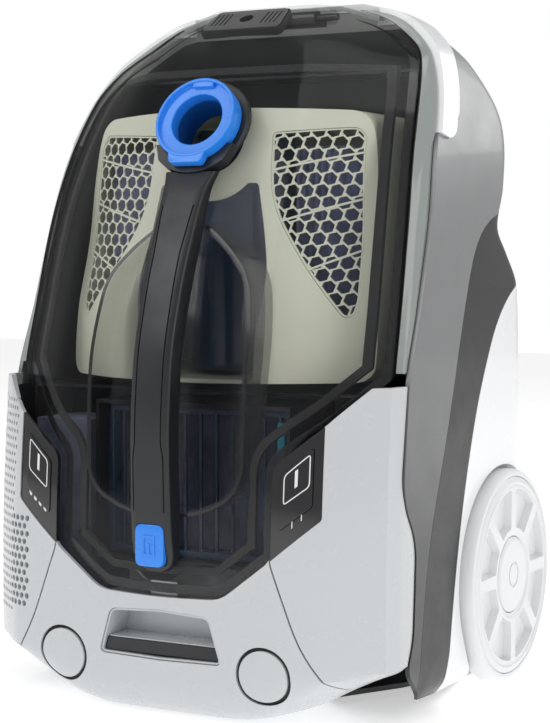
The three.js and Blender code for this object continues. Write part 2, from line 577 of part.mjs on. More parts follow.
function makeFrontPanels() {
  const skin = apronSkin();
  const centre = [...SEAM_LINE, ...SEAM_LINE.map(([x, z]) => [-x, z]).reverse()];
  const centreOutline = [[fx(80), fz(260)], ...centre, [fx(-80), fz(260)]];
  const middle = frontPrism(centreOutline, -BODY_DEPTH, fy(-30));
  const middleGap = frontPrism(shrunk(centreOutline, SEAM), -BODY_DEPTH, fy(-30));
  const grip = frontPrism(GRIP_OUTLINE, -BODY_DEPTH, 0);
  const pad = padRod(PAD_RADIUS + GAP).add(mirroredX(padRod(PAD_RADIUS + GAP)));
  place('front_apron', skin.intersect(middleGap).subtract(grip).subtract(pad), PALE);
  const sides = skin.subtract(middle);
  const rightHalf = block(0, BODY_WIDTH, -BODY_DEPTH, BODY_DEPTH, -20, BODY_HEIGHT);
  place('side_shell_right', sides.intersect(rightHalf), PALE);
  const leftSide = sides.intersect(mirroredX(rightHalf));
  const ventOuter = sidePrism(VENT_SIDE_OUTLINE, -BODY_WIDTH, 0);
  const ventInner = sidePrism(shrunk(VENT_SIDE_OUTLINE, SEAM / 2), -BODY_WIDTH, 0);
  place('side_shell_left', leftSide.subtract(ventOuter), PALE);
  place('exhaust_grille', ventSlots(leftSide.intersect(ventInner)), PALE);
  const liner = frontPrism(shrunk(GRIP_OUTLINE, GAP), fy(-160), fy(-134) + GRIP_DEPTH)
    .subtract(frontPrism(shrunk(GRIP_OUTLINE, 2.5), -BODY_DEPTH, fy(-134) + GRIP_DEPTH - 2.5));
  place('grip_liner', liner.intersect(apronForm(0.5)), DARK);
  place('apron_pad_right', padPiece(), PALE);
  place('apron_pad_left', mirroredX(padPiece()), PALE);
}

const VENT_SIDE_OUTLINE = [[-91, 196], [-122, 196], [-122, 66], [-91, 66]].map(([y, z]) => [fy(y), fz(z)]);

function padRod(radius) {
  return rod(radius, -60, 60, [PAD_X, fy(-134), PAD_Z], [0, 1, 0], 24);
}

function padPiece() {
  return padRod(PAD_RADIUS).intersect(apronForm(0)).subtract(apronForm(SHELL_WALL + 1));
}

function ventSlots(panel) {
  let slotted = panel;
  for (let row = 0; row < 9; row += 1) {
    const z = fz(70 + row * 15);
    slotted = slotted.subtract(block(-BODY_WIDTH, fx(-100), fy(-118), fy(-90), z, z + 5));
  }
  return slotted;
}

// Control panels and their keys, set into the corners beside the lid.
function makeControlPanels() {
  const keyOutline = [[86, 128], [107, 144], [107, 180], [86, 162]].map(([x, z]) => [fx(x), fz(z)]);
  const shallow = frontPrism(PANEL_OUTLINE, -BODY_DEPTH, 0).intersect(apronForm(1))
    .subtract(apronForm(SHELL_WALL + 1));
  const pocket = frontPrism(shrunk(keyOutline, -GAP), -BODY_DEPTH, 0);
  const panel = shallow.subtract(lidRoom).subtract(pocket);
  place('control_panel_right', panel, DARK);
  place('control_panel_left', mirroredX(panel), DARK);
  const key = frontPrism(keyOutline, -BODY_DEPTH, 0).intersect(apronForm(-0.5))
    .subtract(apronForm(SHELL_WALL + 1));
  place('power_button', key, DARK);
  place('rewind_button', mirroredX(key), DARK);
}

// ---------- base ----------
function makeBase() {
  const hullPlan = hullForm(SHELL_WALL + GAP).intersect(block(-BODY_WIDTH, BODY_WIDTH, fy(-12), BODY_DEPTH,
    0, 20).add(block(-fx(60), fx(60), fy(-60), BODY_DEPTH, 0, 20)));
  const plan = hullPlan.add(apronForm(SHELL_WALL + GAP));
  const slab = plan.intersect(block(-BODY_WIDTH, BODY_WIDTH, -BODY_DEPTH, BODY_DEPTH, 5, 9));
  const wells = wheelWell(WHEEL_RADIUS + 3 + SHELL_WALL + GAP, wellWall - GAP);
  const outlet = rod(12, -5, 20, [OUTLET_X, OUTLET_Y, 0], [0, 0, 1], 16);
  const apronWall = apronForm(-GAP).subtract(apronForm(SHELL_WALL + GAP));
  place('base_plate', slab.subtract(wells).subtract(outlet).subtract(apronWall), SILVER);
  const ring = turned([[4, 2], [16, 2], [16, 5 - GAP], [12 - GAP, 5 - GAP], [12 - GAP, 14], [6, 14], [4, 12],
    [4, 2]], [OUTLET_X, OUTLET_Y, 0], [0, 0, 1], 16);
  place('cord_outlet', ring, RUBBER);
  [['foot_right', 1], ['foot_left', -1]].forEach(([name, side]) => {
    place(name, rod(9, 0, 5 - GAP, [side * (APRON_X(0) - 18), fy(-84), 0], [0, 0, 1], 16), RUBBER);
  });
}

const OUTLET_X = -60;
const OUTLET_Y = fy(70);

// ---------- compartments behind the lid ----------
const TRAY_BACK_Y = fy(62);
const TRAY_BOTTOM_Z = fz(206);
const TRAY_TOP_Z = fz(424);

function makeBayTray() {
  const room = (wall) => hullForm(SHELL_WALL + 2 + wall).intersect(block(-BODY_WIDTH, BODY_WIDTH,
    -BODY_DEPTH, TRAY_BACK_Y - wall, TRAY_BOTTOM_Z + wall, TRAY_TOP_Z - wall));
  const rows = LID_LEVELS.filter((z) => z < fz(440)).map((z) => [EDGE_Y(z) + LID_FLANGE + 3, z]);
  const front = sidePrism([[fy(-300), fz(60)], ...rows, [fy(20), fz(440)], [fy(-300), fz(440)]],
    -BODY_WIDTH, BODY_WIDTH);
  const mouth = mouthForm(SHELL_WALL + 4, 14);
  place('bay_tray', room(0).subtract(room(2)).subtract(front).subtract(mouth), DARK);
}

const SEAL_INSET = 14;
const SEAL_TOP_Z = fz(424);

function makeSeal() {
  const outer = shrunk(LID_OUTLINE, SEAL_INSET);
  const inner = shrunk(LID_OUTLINE, SEAL_INSET + 5);
  const top = SEAL_TOP_Z;
  const strip = frontPrism(outer, -BODY_DEPTH, fy(22)).subtract(frontPrism(inner, -BODY_DEPTH, BODY_DEPTH)
    .intersect(block(-BODY_WIDTH, BODY_WIDTH, -BODY_DEPTH, BODY_DEPTH, 0, top - 5)));
  const seal = strip.intersect(lidForm(LID_WALL + GAP)).subtract(lidForm(LID_WALL + 4))
    .intersect(block(-BODY_WIDTH, BODY_WIDTH, -BODY_DEPTH, BODY_DEPTH, 0, top));
  place('bay_seal', seal.subtract(wellKeepOut()), RUBBER);
}

const BOX_OUTLINE = mirrorOutline([[0, 214], [110, 216], [116, 222], [117, 240], [113, 313], [108, 372],
  [104, 386], [96, 392], [0, 396]].map(([x, z]) => [fx(x), fz(z)]));
const BOX_WALL = 2.5;
const BOX_BACK_Y = fy(48);
const GRILLE_OUTLINE = [[44, 378], [97, 381], [102, 376], [106, 268], [104, 259], [98, 257], [66, 298],
  [46, 332]].map(([x, z]) => [fx(x), fz(z)]);
// Face of the dust box on the centre line, behind the finger recess of the closed lid.
const BOX_FACE_Y = track([[200, -93], [214, -93], [258, -89.5], [300, -78.5], [318, -75], [345, -72],
  [385, -64], [402, -56]], fy);
const BOX_CROWN = 24; // how far the face falls back at its sides
const PORT_CLEARANCE = 22; // cream collar round the inlet, beyond the bore
const OPENING_OUTLINE = mirrorOutline([[0, 217], [44, 217], [44, 244], [48, 272], [48, 288], [37, 345],
  [0, 345]].map(([x, z]) => [fx(x), fz(z)]));
const CHAMBER_RADIUS = 37;
const CHAMBER_Y = fy(-24);

// Space behind the dust box's face, moved back by an inset.
function boxForm(inset) {
  const levels = [200, 214, 236, 258, 279, 300, 322, 345, 365, 385, 402].map(fz);
  const flat = fx(35);
  return loft(levels.map((z) => {
    const half = [0, 0.35, 0.6, 0.85, 1, 1.2].map((share) => {
      const x = share * fx(105);
      const past = Math.max(x - flat, 0) / fx(70);
      return [x, BOX_FACE_Y(z) + inset + BOX_CROWN * past * past];
    });
    return mirrored([...half, [fx(126), fy(60)]], z);
  }));
}

function makeDustBox() {
  const outer = frontPrism(BOX_OUTLINE, -BODY_DEPTH, BOX_BACK_Y).intersect(boxForm(0));
  const inner = frontPrism(shrunk(BOX_OUTLINE, BOX_WALL), -BODY_DEPTH, BOX_BACK_Y - BOX_WALL)
    .intersect(boxForm(BOX_WALL));
  const window = frontPrism(GRILLE_OUTLINE, -BODY_DEPTH, fy(0));
  const collar = rod(HOSE_BORE / 2 + PORT_CLEARANCE, -60, 60, RING_CENTRE, INWARD, 32);
  const opening = frontPrism(OPENING_OUTLINE, -BODY_DEPTH, fy(-50)).subtract(collar);
  const port = rod(HOSE_BORE / 2 + DUCT_WALL + 3, -40, 60, RING_CENTRE, INWARD, 24);
  const neckRoom = rod(NECK_RADIUS + 2, -20, 26, RING_CENTRE, INWARD, 24);
  const box = outer.subtract(inner).subtract(opening).subtract(window).subtract(mirroredX(window))
    .subtract(port).subtract(neckRoom).subtract(wellKeepOut());
  place('dust_box', box, CREAM);
  const grille = honeycomb(frontPrism(shrunk(GRILLE_OUTLINE, GAP), -BODY_DEPTH, fy(0))
    .intersect(boxForm(0)).subtract(boxForm(BOX_WALL)));
  place('grille_right', grille, CREAM);
  place('grille_left', mirroredX(grille), CREAM);
}

// Hexagonal holes through the grille plate, staggered row by row.
function honeycomb(plate) {
  const pitch = 22;
  const radius = 9.4;
  const xs = GRILLE_OUTLINE.map(([x]) => x);
  const zs = GRILLE_OUTLINE.map(([, z]) => z);
  let cut = plate;
  let row = 0;
  for (let z = Math.max(...zs) - 12; z > Math.min(...zs) + 6; z -= pitch * 0.87) {
    for (let x = Math.max(...xs) - (row % 2 ? 23 : 12); x > Math.min(...xs) + 8; x -= pitch) {
      if (insideOutline([x, z], shrunk(GRILLE_OUTLINE, radius + 1))) {
        cut = cut.subtract(rod(radius, -BODY_DEPTH, BODY_DEPTH, [x, 0, z], [0, 1, 0], 6));
      }
    }
    row += 1;
  }
  return cut;
}

function insideOutline([px, pz], outline) {
  let inside = false;
  outline.forEach(([x0, z0], i) => {
    const [x1, z1] = outline[(i + 1) % outline.length];
    if (z0 > pz !== z1 > pz && px < ((x1 - x0) * (pz - z0)) / (z1 - z0) + x0) inside = !inside;
  });
  return inside;
}

function makeFilters() {
  const pleats = 9;
  const x0 = CHAMBER_RADIUS + 6;
  const pitch = (fx(102) - x0) / pleats;
  const front = [];
  for (let i = 0; i <= pleats * 2; i += 1) {
    front.push([x0 + (i * pitch) / 2, fy(-38) + (i % 2 ? 10 : 0)]);
  }
  const rear = front.map(([x, y]) => [x, y + 4]).reverse();
  const matrix = new THREE.Matrix4().setPosition(0, 0, fz(226));
  const filter = prism([...front, ...rear], fz(370) - fz(226), matrix);
  place('pleated_filter_right', filter, FILTER);
  place('pleated_filter_left', mirroredX(filter), FILTER);
}

function makeDustChamber() {
  const bottom = fz(220);
  const top = fz(382);
  const profile = [[0, bottom], [CHAMBER_RADIUS, bottom], [CHAMBER_RADIUS, top], [0, top]];
  const wall = 2.5;
  const hollow = [[0, bottom + wall], [CHAMBER_RADIUS - wall, bottom + wall],
    [CHAMBER_RADIUS - wall, top - wall], [0, top - wall]];
  const centre = [0, CHAMBER_Y, 0];
  const port = rod(HOSE_BORE / 2 + 1, -20, 90, RING_CENTRE, INWARD, 24);
  const ductRoom = rod(HOSE_BORE / 2 + DUCT_WALL + 2, -20, 34, RING_CENTRE, INWARD, 24);
  const chamber = turned(profile, centre, [0, 0, 1]).subtract(turned(hollow, centre, [0, 0, 1]))
    .subtract(port).subtract(ductRoom);
  place('dust_chamber', chamber.subtract(wellKeepOut()), CHAMBER);
}

function wellKeepOut() {
  const outline = frontPrism(shrunk(WELL_OUTLINE, -LID_WALL - 1), -BODY_DEPTH, BODY_DEPTH);
  return outline.subtract(lidForm(WELL_DEPTH + LID_WALL + 1)).intersect(lidForm(-10));
}

const FILTER_BAY_X = fx(74);
const FILTER_BAY_TOP_Z = fz(201);
const FILTER_BAY_BOTTOM_Z = fz(94);

function makeFilterBay() {
  const front = fy(-98);
  const back = fy(-34);
  const wall = 2.5;
  const bay = block(-FILTER_BAY_X, FILTER_BAY_X, front, back, FILTER_BAY_BOTTOM_Z, FILTER_BAY_TOP_Z)
    .subtract(block(-FILTER_BAY_X + wall, FILTER_BAY_X - wall, front - 1, back - wall,
      FILTER_BAY_BOTTOM_Z + wall, FILTER_BAY_TOP_Z - wall))
    .subtract(rod(INTAKE_RADIUS + 1, -10, 30, [INTAKE_X, back, MOTOR_Z], [0, 1, 0], 16));
  place('filter_bay', bay.subtract(wellKeepOut()), DARK);
  const cassette = block(-FILTER_BAY_X + wall + GAP, FILTER_BAY_X - wall - GAP, front + 10, front + 34,
    FILTER_BAY_BOTTOM_Z + wall + GAP, FILTER_BAY_TOP_Z - wall - GAP);
  let ribbed = cassette;
  for (let x = -60; x <= 60; x += 12) {
    ribbed = ribbed.subtract(block(x - 4, x + 4, front, front + 16, fz(104), fz(192)));
  }
  place('motor_filter', ribbed.subtract(wellKeepOut()), BLUE);
  place('exhaust_filter', block(fx(-128), fx(-84), fy(-90), fy(-42), fz(66), fz(186)), FILTER);
}

// ---------- motor, reel and board ----------
// The motor sits against the right wheel well, and the cord reel takes the rest of the width.
const MOTOR_Y = fy(44);
const MOTOR_Z = fz(108);
const HOUSING_END_X = wellWall - 8.5;
const HOUSING_LENGTH = 118;
const HOUSING_WALL = 3;
const FAN_CHAMBER = 36; // length of the housing in front of the motor's flange
const FLANGE_THICKNESS = 6;
const HOUSING_X = HOUSING_END_X - HOUSING_LENGTH;
const FLANGE_X = HOUSING_X + FAN_CHAMBER;
const INTAKE_RADIUS = 18;
const INTAKE_X = HOUSING_X + INTAKE_RADIUS + 1;
const FAN_BLADES = 7;

const SPINDLE_RADIUS = 8;
const REEL_PLATE_X = HOUSING_X - 19; // inner face of the reel's plate
const REEL_PLATE = 3;
const SPINDLE_END_X = -(wellWall - 16.5);
const DRUM_RADIUS = 26;

function makeMotor() {
  const centre = [0, MOTOR_Y, MOTOR_Z];
  const r = MOTOR_HOUSING_RADIUS;
  const inside = r - HOUSING_WALL;
  const housing = turned([[0, HOUSING_X], [r, HOUSING_X], [r, HOUSING_END_X], [inside, HOUSING_END_X],
    [inside, HOUSING_X + HOUSING_WALL], [0, HOUSING_X + HOUSING_WALL]], centre, [1, 0, 0]);
  const intake = rod(INTAKE_RADIUS, -30, 0, [INTAKE_X, MOTOR_Y - r + 20, MOTOR_Z], [0, 1, 0], 16);
  place('motor_housing', housing.subtract(intake), DARK);
  const shoulder = FLANGE_X + FLANGE_THICKNESS + 4;
  const rearEnd = HOUSING_END_X - 18;
  const motor = turned([[0, FLANGE_X], [FAN_RADIUS, FLANGE_X], [FAN_RADIUS, FLANGE_X + FLANGE_THICKNESS],
    [MOTOR_RADIUS, shoulder], [MOTOR_RADIUS, rearEnd], [20, rearEnd + 4], [12, rearEnd + 12],
    [0, rearEnd + 12]], centre, [1, 0, 0]);
  place('motor', motor, STEEL);
  const backPlate = FLANGE_X - 7;
  const hub = turned([[0, HOUSING_X + 8], [10, HOUSING_X + 8], [10, backPlate], [FAN_RADIUS, backPlate],
    [FAN_RADIUS, backPlate + 3], [4, backPlate + 3], [4, FLANGE_X - 0.5], [0, FLANGE_X - 0.5]], centre,
  [1, 0, 0]);
  let fan = hub;
  for (let blade = 0; blade < FAN_BLADES; blade += 1) {
    const vane = new THREE.BoxGeometry(20, FAN_RADIUS - 10, 2);
    vane.translate(backPlate - 9, (FAN_RADIUS + 8) / 2, 0);
    vane.rotateX((blade / FAN_BLADES) * Math.PI * 2);
    vane.translate(0, MOTOR_Y, MOTOR_Z);
    fan = fan.add(solid(vane));
  }
  place('motor_fan', fan, STEEL);
  const collar = tube(inside - 0.5, FAN_RADIUS + GAP, FLANGE_X, FLANGE_X + FLANGE_THICKNESS, centre,
    [1, 0, 0]);
  place('motor_mount', collar, RUBBER);
}

function makeReel() {
  const centre = [0, MOTOR_Y, MOTOR_Z];
  const spindle = rod(SPINDLE_RADIUS, SPINDLE_END_X, REEL_PLATE_X - 1, centre, [1, 0, 0], 16);
  const plate = rod(REEL_RADIUS, REEL_PLATE_X - REEL_PLATE, REEL_PLATE_X, centre, [1, 0, 0], 24);
  place('reel_frame', spindle.add(plate), DARK);
  const bore = SPINDLE_RADIUS + RUNNING;
  const right = REEL_PLATE_X - REEL_PLATE - 4;
  const left = SPINDLE_END_X + 8;
  const drum = turned([[bore, right], [bore, left], [REEL_RADIUS, left], [REEL_RADIUS, left + REEL_PLATE],
    [DRUM_RADIUS, left + REEL_PLATE], [DRUM_RADIUS, right - REEL_PLATE], [REEL_RADIUS, right - REEL_PLATE],
    [REEL_RADIUS, right], [bore, right]], centre, [1, 0, 0]);
  place('cord_reel', drum, PALE);
}

function makeBoard() {
  const z = fz(184);
  const board = block(fx(-110), fx(-20), fy(0), fy(90), z, z + 1.6);
  const sink = block(fx(-60), fx(-35), fy(20), fy(70), z + 1, z + 11);
  const coil = rod(8, z + 1, z + 11, [fx(-90), fy(40), 0], [0, 0, 1], 16);
  place('control_board', board.add(sink).add(coil), BOARD);
}

// ---------- wheels ----------
const SPOKE_COUNT = 8;
const HUB_CAP_RADIUS = 26.5;
const WHEEL_RIM_INNER = 62;

function makeWheel(side, prefix) {
  const mirror = (body) => (side > 0 ? body : mirroredX(body));
  const centre = [0, WHEEL_Y, WHEEL_Z];
  const inner = WHEEL_INNER_X;
  const face = WHEEL_FACE_X;
  const rim = WHEEL_RADIUS - 5;
  const tyre = turned([[rim, inner + 2], [WHEEL_RADIUS - 1, inner + 2], [WHEEL_RADIUS, inner + 4],
    [WHEEL_RADIUS, face - 4], [WHEEL_RADIUS - 2, face - 1], [rim, face - 1], [rim, inner + 2]], centre,
  [1, 0, 0], 36);
  place(`${prefix}_tyre`, mirror(tyre), WHITE);
  const bore = AXLE_RADIUS + RUNNING;
  let disc = turned([[bore, inner], [rim - GAP, inner], [rim - GAP, face], [HUB_CAP_RADIUS + GAP, face],
    [HUB_CAP_RADIUS + GAP, face - 6], [bore, face - 6], [bore, inner]], centre, [1, 0, 0], 36);
  for (let spoke = 0; spoke < SPOKE_COUNT; spoke += 1) {
    disc = disc.subtract(spokePocket(spoke));
  }
  place(`${prefix}_disc`, mirror(disc), WHITE);
  place(`${prefix}_cap`, mirror(rod(HUB_CAP_RADIUS, face - 6 + GAP, face - 0.5, centre, [1, 0, 0], 28)),
    WHITE);
  const axleEnd = wellWall - 6.3;
  place(`${prefix}_axle`, mirror(rod(AXLE_RADIUS, axleEnd, face - 7, centre, [1, 0, 0], 16)), STEEL);
}

// Recess between two spokes, open to the wheel's face.
function spokePocket(index) {
  const step = (Math.PI * 2) / SPOKE_COUNT;
  const from = index * step + 0.09;
  const to = (index + 1) * step - 0.09;
  const outline = [];
  for (let i = 0; i <= 3; i += 1) {
    const angle = from + ((to - from) * i) / 3;
    outline.push([Math.cos(angle) * WHEEL_RIM_INNER, Math.sin(angle) * WHEEL_RIM_INNER]);
  }
  for (let i = 2; i >= 0; i -= 1) {
    const angle = from + 0.05 + ((to - from - 0.1) * i) / 2;
    outline.push([Math.cos(angle) * (HUB_CAP_RADIUS + 4), Math.sin(angle) * (HUB_CAP_RADIUS + 4)]);
  }
  return sidePrism(outline.map(([y, z]) => [y + WHEEL_Y, z + WHEEL_Z]), WHEEL_FACE_X - 5, WHEEL_FACE_X + 5);
}

// ---------- front caster, under the nose when the cleaner lies down ----------
const CASTER_Z = fz(390);

function makeCaster() {
  const seat = BACK_Y(CASTER_Z);
  const axleY = REST_PLANE_Y - CASTER_RADIUS;
  const plate = rod(22, seat + GAP, seat + 3, [0, 0, CASTER_Z], [0, 1, 0], 24);
  place('caster_plate', plate.subtract(hullForm(-GAP)), DARK);
  const cheek = CASTER_WIDTH / 2 + 1.2;
  const forkTop = seat + 3 + GAP;
  const arms = block(-cheek - 3, cheek + 3, forkTop, axleY + 4, CASTER_Z - 7, CASTER_Z + 7)
    .subtract(block(-cheek, cheek, axleY - CASTER_RADIUS - 1, axleY + 20, CASTER_Z - 20, CASTER_Z + 20));
  const crown = rod(15, forkTop, forkTop + 1.6, [0, 0, CASTER_Z], [0, 1, 0], 24);
  const pin = rod(2.5, -cheek - 3, cheek + 3, [0, axleY, CASTER_Z], [1, 0, 0], 16);
  place('caster_fork', arms.add(crown).add(pin), DARK);
  const roller = turned([[2.5 + RUNNING, -CASTER_WIDTH / 2], [CASTER_RADIUS - 1, -CASTER_WIDTH / 2],
    [CASTER_RADIUS, -CASTER_WIDTH / 2 + 1], [CASTER_RADIUS, CASTER_WIDTH / 2 - 1],
    [CASTER_RADIUS - 1, CASTER_WIDTH / 2], [2.5 + RUNNING, CASTER_WIDTH / 2],
    [2.5 + RUNNING, -CASTER_WIDTH / 2]], [0, axleY, CASTER_Z], [1, 0, 0], 24);
  place('caster_roller', roller, RUBBER);
}

makeLidCover();
makeLidRims();
makeInlet();
makeHandle();
makeLatch();
makeNosePlate();
makeHinge();
makeShells();
makeFrontPanels();
makeControlPanels();
makeBase();
makeBayTray();
makeSeal();
makeDustBox();
makeFilters();
makeDustChamber();
makeFilterBay();
makeMotor();
makeReel();
makeBoard();
makeWheel(1, 'wheel_right');
makeWheel(-1, 'wheel_left');
makeCaster();

export default group;
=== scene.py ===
"""Canister vacuum cleaner, parked upright on its rear end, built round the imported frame."""
import json
import math

import bmesh
import bpy
from mathutils import Matrix, Vector

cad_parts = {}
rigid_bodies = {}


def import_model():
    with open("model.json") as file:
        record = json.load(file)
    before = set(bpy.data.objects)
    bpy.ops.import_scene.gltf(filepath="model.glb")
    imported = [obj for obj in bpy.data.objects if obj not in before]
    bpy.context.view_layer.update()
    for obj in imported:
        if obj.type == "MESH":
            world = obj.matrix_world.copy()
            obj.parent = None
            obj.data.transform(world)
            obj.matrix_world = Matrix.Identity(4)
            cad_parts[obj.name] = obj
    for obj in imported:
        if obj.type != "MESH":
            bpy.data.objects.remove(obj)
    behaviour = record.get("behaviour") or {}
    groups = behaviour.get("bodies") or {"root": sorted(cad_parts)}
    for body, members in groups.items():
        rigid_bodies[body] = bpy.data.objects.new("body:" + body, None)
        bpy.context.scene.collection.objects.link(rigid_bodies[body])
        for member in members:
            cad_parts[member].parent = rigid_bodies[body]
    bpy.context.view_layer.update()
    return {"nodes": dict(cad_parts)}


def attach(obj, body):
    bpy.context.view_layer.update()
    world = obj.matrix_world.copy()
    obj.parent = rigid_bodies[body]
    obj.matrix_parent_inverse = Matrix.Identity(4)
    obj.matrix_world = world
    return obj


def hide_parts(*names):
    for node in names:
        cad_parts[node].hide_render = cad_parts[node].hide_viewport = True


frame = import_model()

bl_info = {
    "name": "Canister Vacuum Cleaner",
    "version": (1, 0, 0),
    "blender": (4, 5, 0),
    "location": "View3D > Sidebar > Cleaner",
    "description": "Builds a canister vacuum cleaner piece by piece on its packed frame",
    "category": "Add Mesh",
}

MM = 0.001


# ---------- sizes and colours ----------
def length(label, words, default, low=0.0):
    """A size in metres."""
    return bpy.props.FloatProperty(
        name=label, description=words, default=default, min=low, unit="LENGTH", precision=4)


def colour(label, words, default):
    """A finish colour, linear."""
    return bpy.props.FloatVectorProperty(
        name=label, description=words, default=default, size=3, min=0.0, max=1.0, subtype="COLOR")


def count(label, words, default):
    """A number of repeats."""
    return bpy.props.IntProperty(name=label, description=words, default=default, min=1)


class CleanerSizes(bpy.types.PropertyGroup):
    """Sizes of the cleaner's repeated and fine features."""
    level_step: length("Level Step", "Distance between the levels of a moulded surface", 0.004)
    edge_radius: length("Edge Radius", "Rounding of moulded edges", 0.0005)
    cell_pitch: length("Cell Pitch", "Distance between the honeycomb cells of the dust box", 0.0090)
    cell_wall: length("Cell Wall", "Web between two honeycomb cells", 0.0013)
    vent_pitch: length("Vent Pitch", "Distance between the exhaust perforations", 0.0052)
    vent_hole: length("Vent Hole", "Diameter of one exhaust perforation", 0.0030)
    pleat_pitch: length("Pleat Pitch", "Distance between two filter pleats", 0.0046)
    spokes: count("Spokes", "Spokes of each wheel", 8)
    screw_radius: length("Screw Radius", "Radius of the screw heads in the back", 0.0035)


class CleanerColours(bpy.types.PropertyGroup):
    """Colours of the cleaner's finishes."""
    silver: colour("Silver Paint", "Upper shell", (0.24, 0.243, 0.247))
    # Painted shade: the same silver shell, darkened on its side facet that turns away from the light.
    shaded_facet: colour("Facet Painted Shade", "Side facet of the upper shell", (0.026, 0.025, 0.025))
    white: colour("White Plastic", "Rear shell and nose band", (0.86, 0.87, 0.88))
    pale: colour("Pale Plastic", "Front apron and side shells", (0.56, 0.58, 0.595))
    dark: colour("Dark Plastic", "Handle, neck and tray", (0.013, 0.014, 0.017))
    gloss: colour("Gloss Panel", "Control panels", (0.010, 0.010, 0.012))
    smoked: colour("Smoked Plastic", "Transparent lid", (0.030, 0.031, 0.034))
    clear: colour("Clear Rim", "Transparent strips beside the lid", (0.42, 0.46, 0.44))
    blue: colour("Blue Plastic", "Ring and release button", (0.020, 0.24, 0.86))
    cream: colour("Cream Plastic", "Dust box", (0.86, 0.88, 0.72))
    media: colour("Filter Media", "Pleated filters", (0.34, 0.38, 0.58))
    chamber: colour("Chamber Plastic", "Dust chamber", (0.02, 0.06, 0.14))
    teal: colour("Teal Plastic", "Motor filter frame", (0.010, 0.05, 0.12))
    rubber: colour("Rubber", "Seals and feet", (0.018, 0.018, 0.019))
    steel: colour("Steel", "Pins, latch and motor", (0.60, 0.60, 0.61))
    board: colour("Board", "Control board", (0.03, 0.16, 0.06))


# ---------- body form, in millimetres ----------
def track(rows):
    """Smooth curve without overshoot through (height, value) rows."""
    z = [row[0] for row in rows]
    v = [row[1] for row in rows]
    slope = [(v[i + 1] - v[i]) / (z[i + 1] - z[i]) for i in range(len(z) - 1)]
    tangent = [slope[0]]
    for a, b in zip(slope, slope[1:]):
        tangent.append(0.0 if a * b <= 0 else 2 * a * b / (a + b))
    tangent.append(slope[-1])

    def value(height):
        h = min(max(height, z[0]), z[-1])
        i = 0
        while i < len(z) - 2 and h > z[i + 1]:
            i += 1
        span = z[i + 1] - z[i]
        t = (h - z[i]) / span
        t2, t3 = t * t, t * t * t
        return ((2 * t3 - 3 * t2 + 1) * v[i] + (t3 - 2 * t2 + t) * span * tangent[i]
                + (3 * t2 - 2 * t3) * v[i + 1] + (t3 - t2) * span * tangent[i + 1])
    return value


LID_CENTRE_Y = track([(80, -136), (110, -136.5), (167, -134), (216, -130), (262, -121), (310, -108),
                      (359, -89), (403, -66), (430, -46), (446, -31), (456, -16), (464, -4), (470, 8)])
CREASE_X = track([(80, 80), (167, 82), (216, 83), (262, 81), (310, 78), (359, 73), (403, 67), (439, 62),
                  (455, 52), (470, 40)])
CREASE_Y = track([(80, -135), (109, -134), (167, -131), (216, -128), (262, -119), (310, -106), (359, -86),
                  (403, -61), (439, -37), (450, -22), (460, -9), (470, 6)])
EDGE_X = track([(80, 141), (221, 141), (263, 140), (315, 138), (359, 134), (407, 127), (429, 119),
                (437, 113), (448, 100), (460, 82), (466, 65), (470, 50)])
EDGE_Y = track([(80, -98), (160, -93), (221, -85), (263, -74), (315, -60), (359, -44), (407, -17),
                (429, 3), (437, 12), (448, 21), (460, 26), (470, 28)])
HALF_WIDTH = track([(0, 125), (8, 140), (20, 148), (40, 150), (220, 150), (320, 148), (360, 145),
                    (400, 138), (430, 126), (450, 107), (462, 88), (470, 58)])
SHOULDER_Y = track([(0, -90), (160, -91), (212, -83), (262, -64), (310, -46), (359, -30), (400, -8),
                    (430, 11), (450, 26), (462, 33), (470, 34)])
BACK_Y = track([(0, 118), (10, 130), (30, 137), (240, 138), (275, 128), (300, 103), (316, 90), (345, 108),
                (390, 123), (420, 108), (445, 80), (460, 58), (470, 45)])
BACK_CORNER = track([(0, 30), (40, 40), (240, 40), (300, 24), (345, 30), (420, 34), (450, 16), (470, 4)])
APRON_X = track([(0, 66), (5, 80), (10, 92), (20, 110), (30, 130), (40, 149), (230, 149)])
APRON_Y = track([(0, -112), (4, -124), (10, -131), (25, -136), (60, -138), (110, -137.5), (230, -129)])

BODY_HEIGHT = 470.0
SHELL_WALL = 3.0
LID_WALL = 3.5
LID_FLANGE = 9.0
SEAM = 0.6
PANEL_SEAM = 1.1
GAP = 0.3
FAR = 300.0
HINGE = (30.0, 464.0)
HINGE_EYE = 5.5
WHEEL_RADIUS = 74.0
WHEEL_CENTRE = (76.0, 74.1)
WHEEL_FACE = 159.0
WHEEL_INNER = 139.0
RING_CENTRE = (0.0, -92.0, 388.0)
RING_TILT = math.radians(25)
INWARD = (0.0, math.cos(RING_TILT), -math.sin(RING_TILT))
RING_RADIUS = 29.0
RING_DEPTH = 12.0
RING_LIP = 2.2
BORE_RADIUS = 18.5
NECK_RADIUS = 33.5
COLLAR_RADIUS = 40.5
WELL_DEPTH = 25.0
BOX_CROWN = 24.0


def mirror_outline(half):
    """A whole outline from the half on the right of the centre line."""
    return half + [(-x, z) for x, z in reversed(half) if x > 0.001]


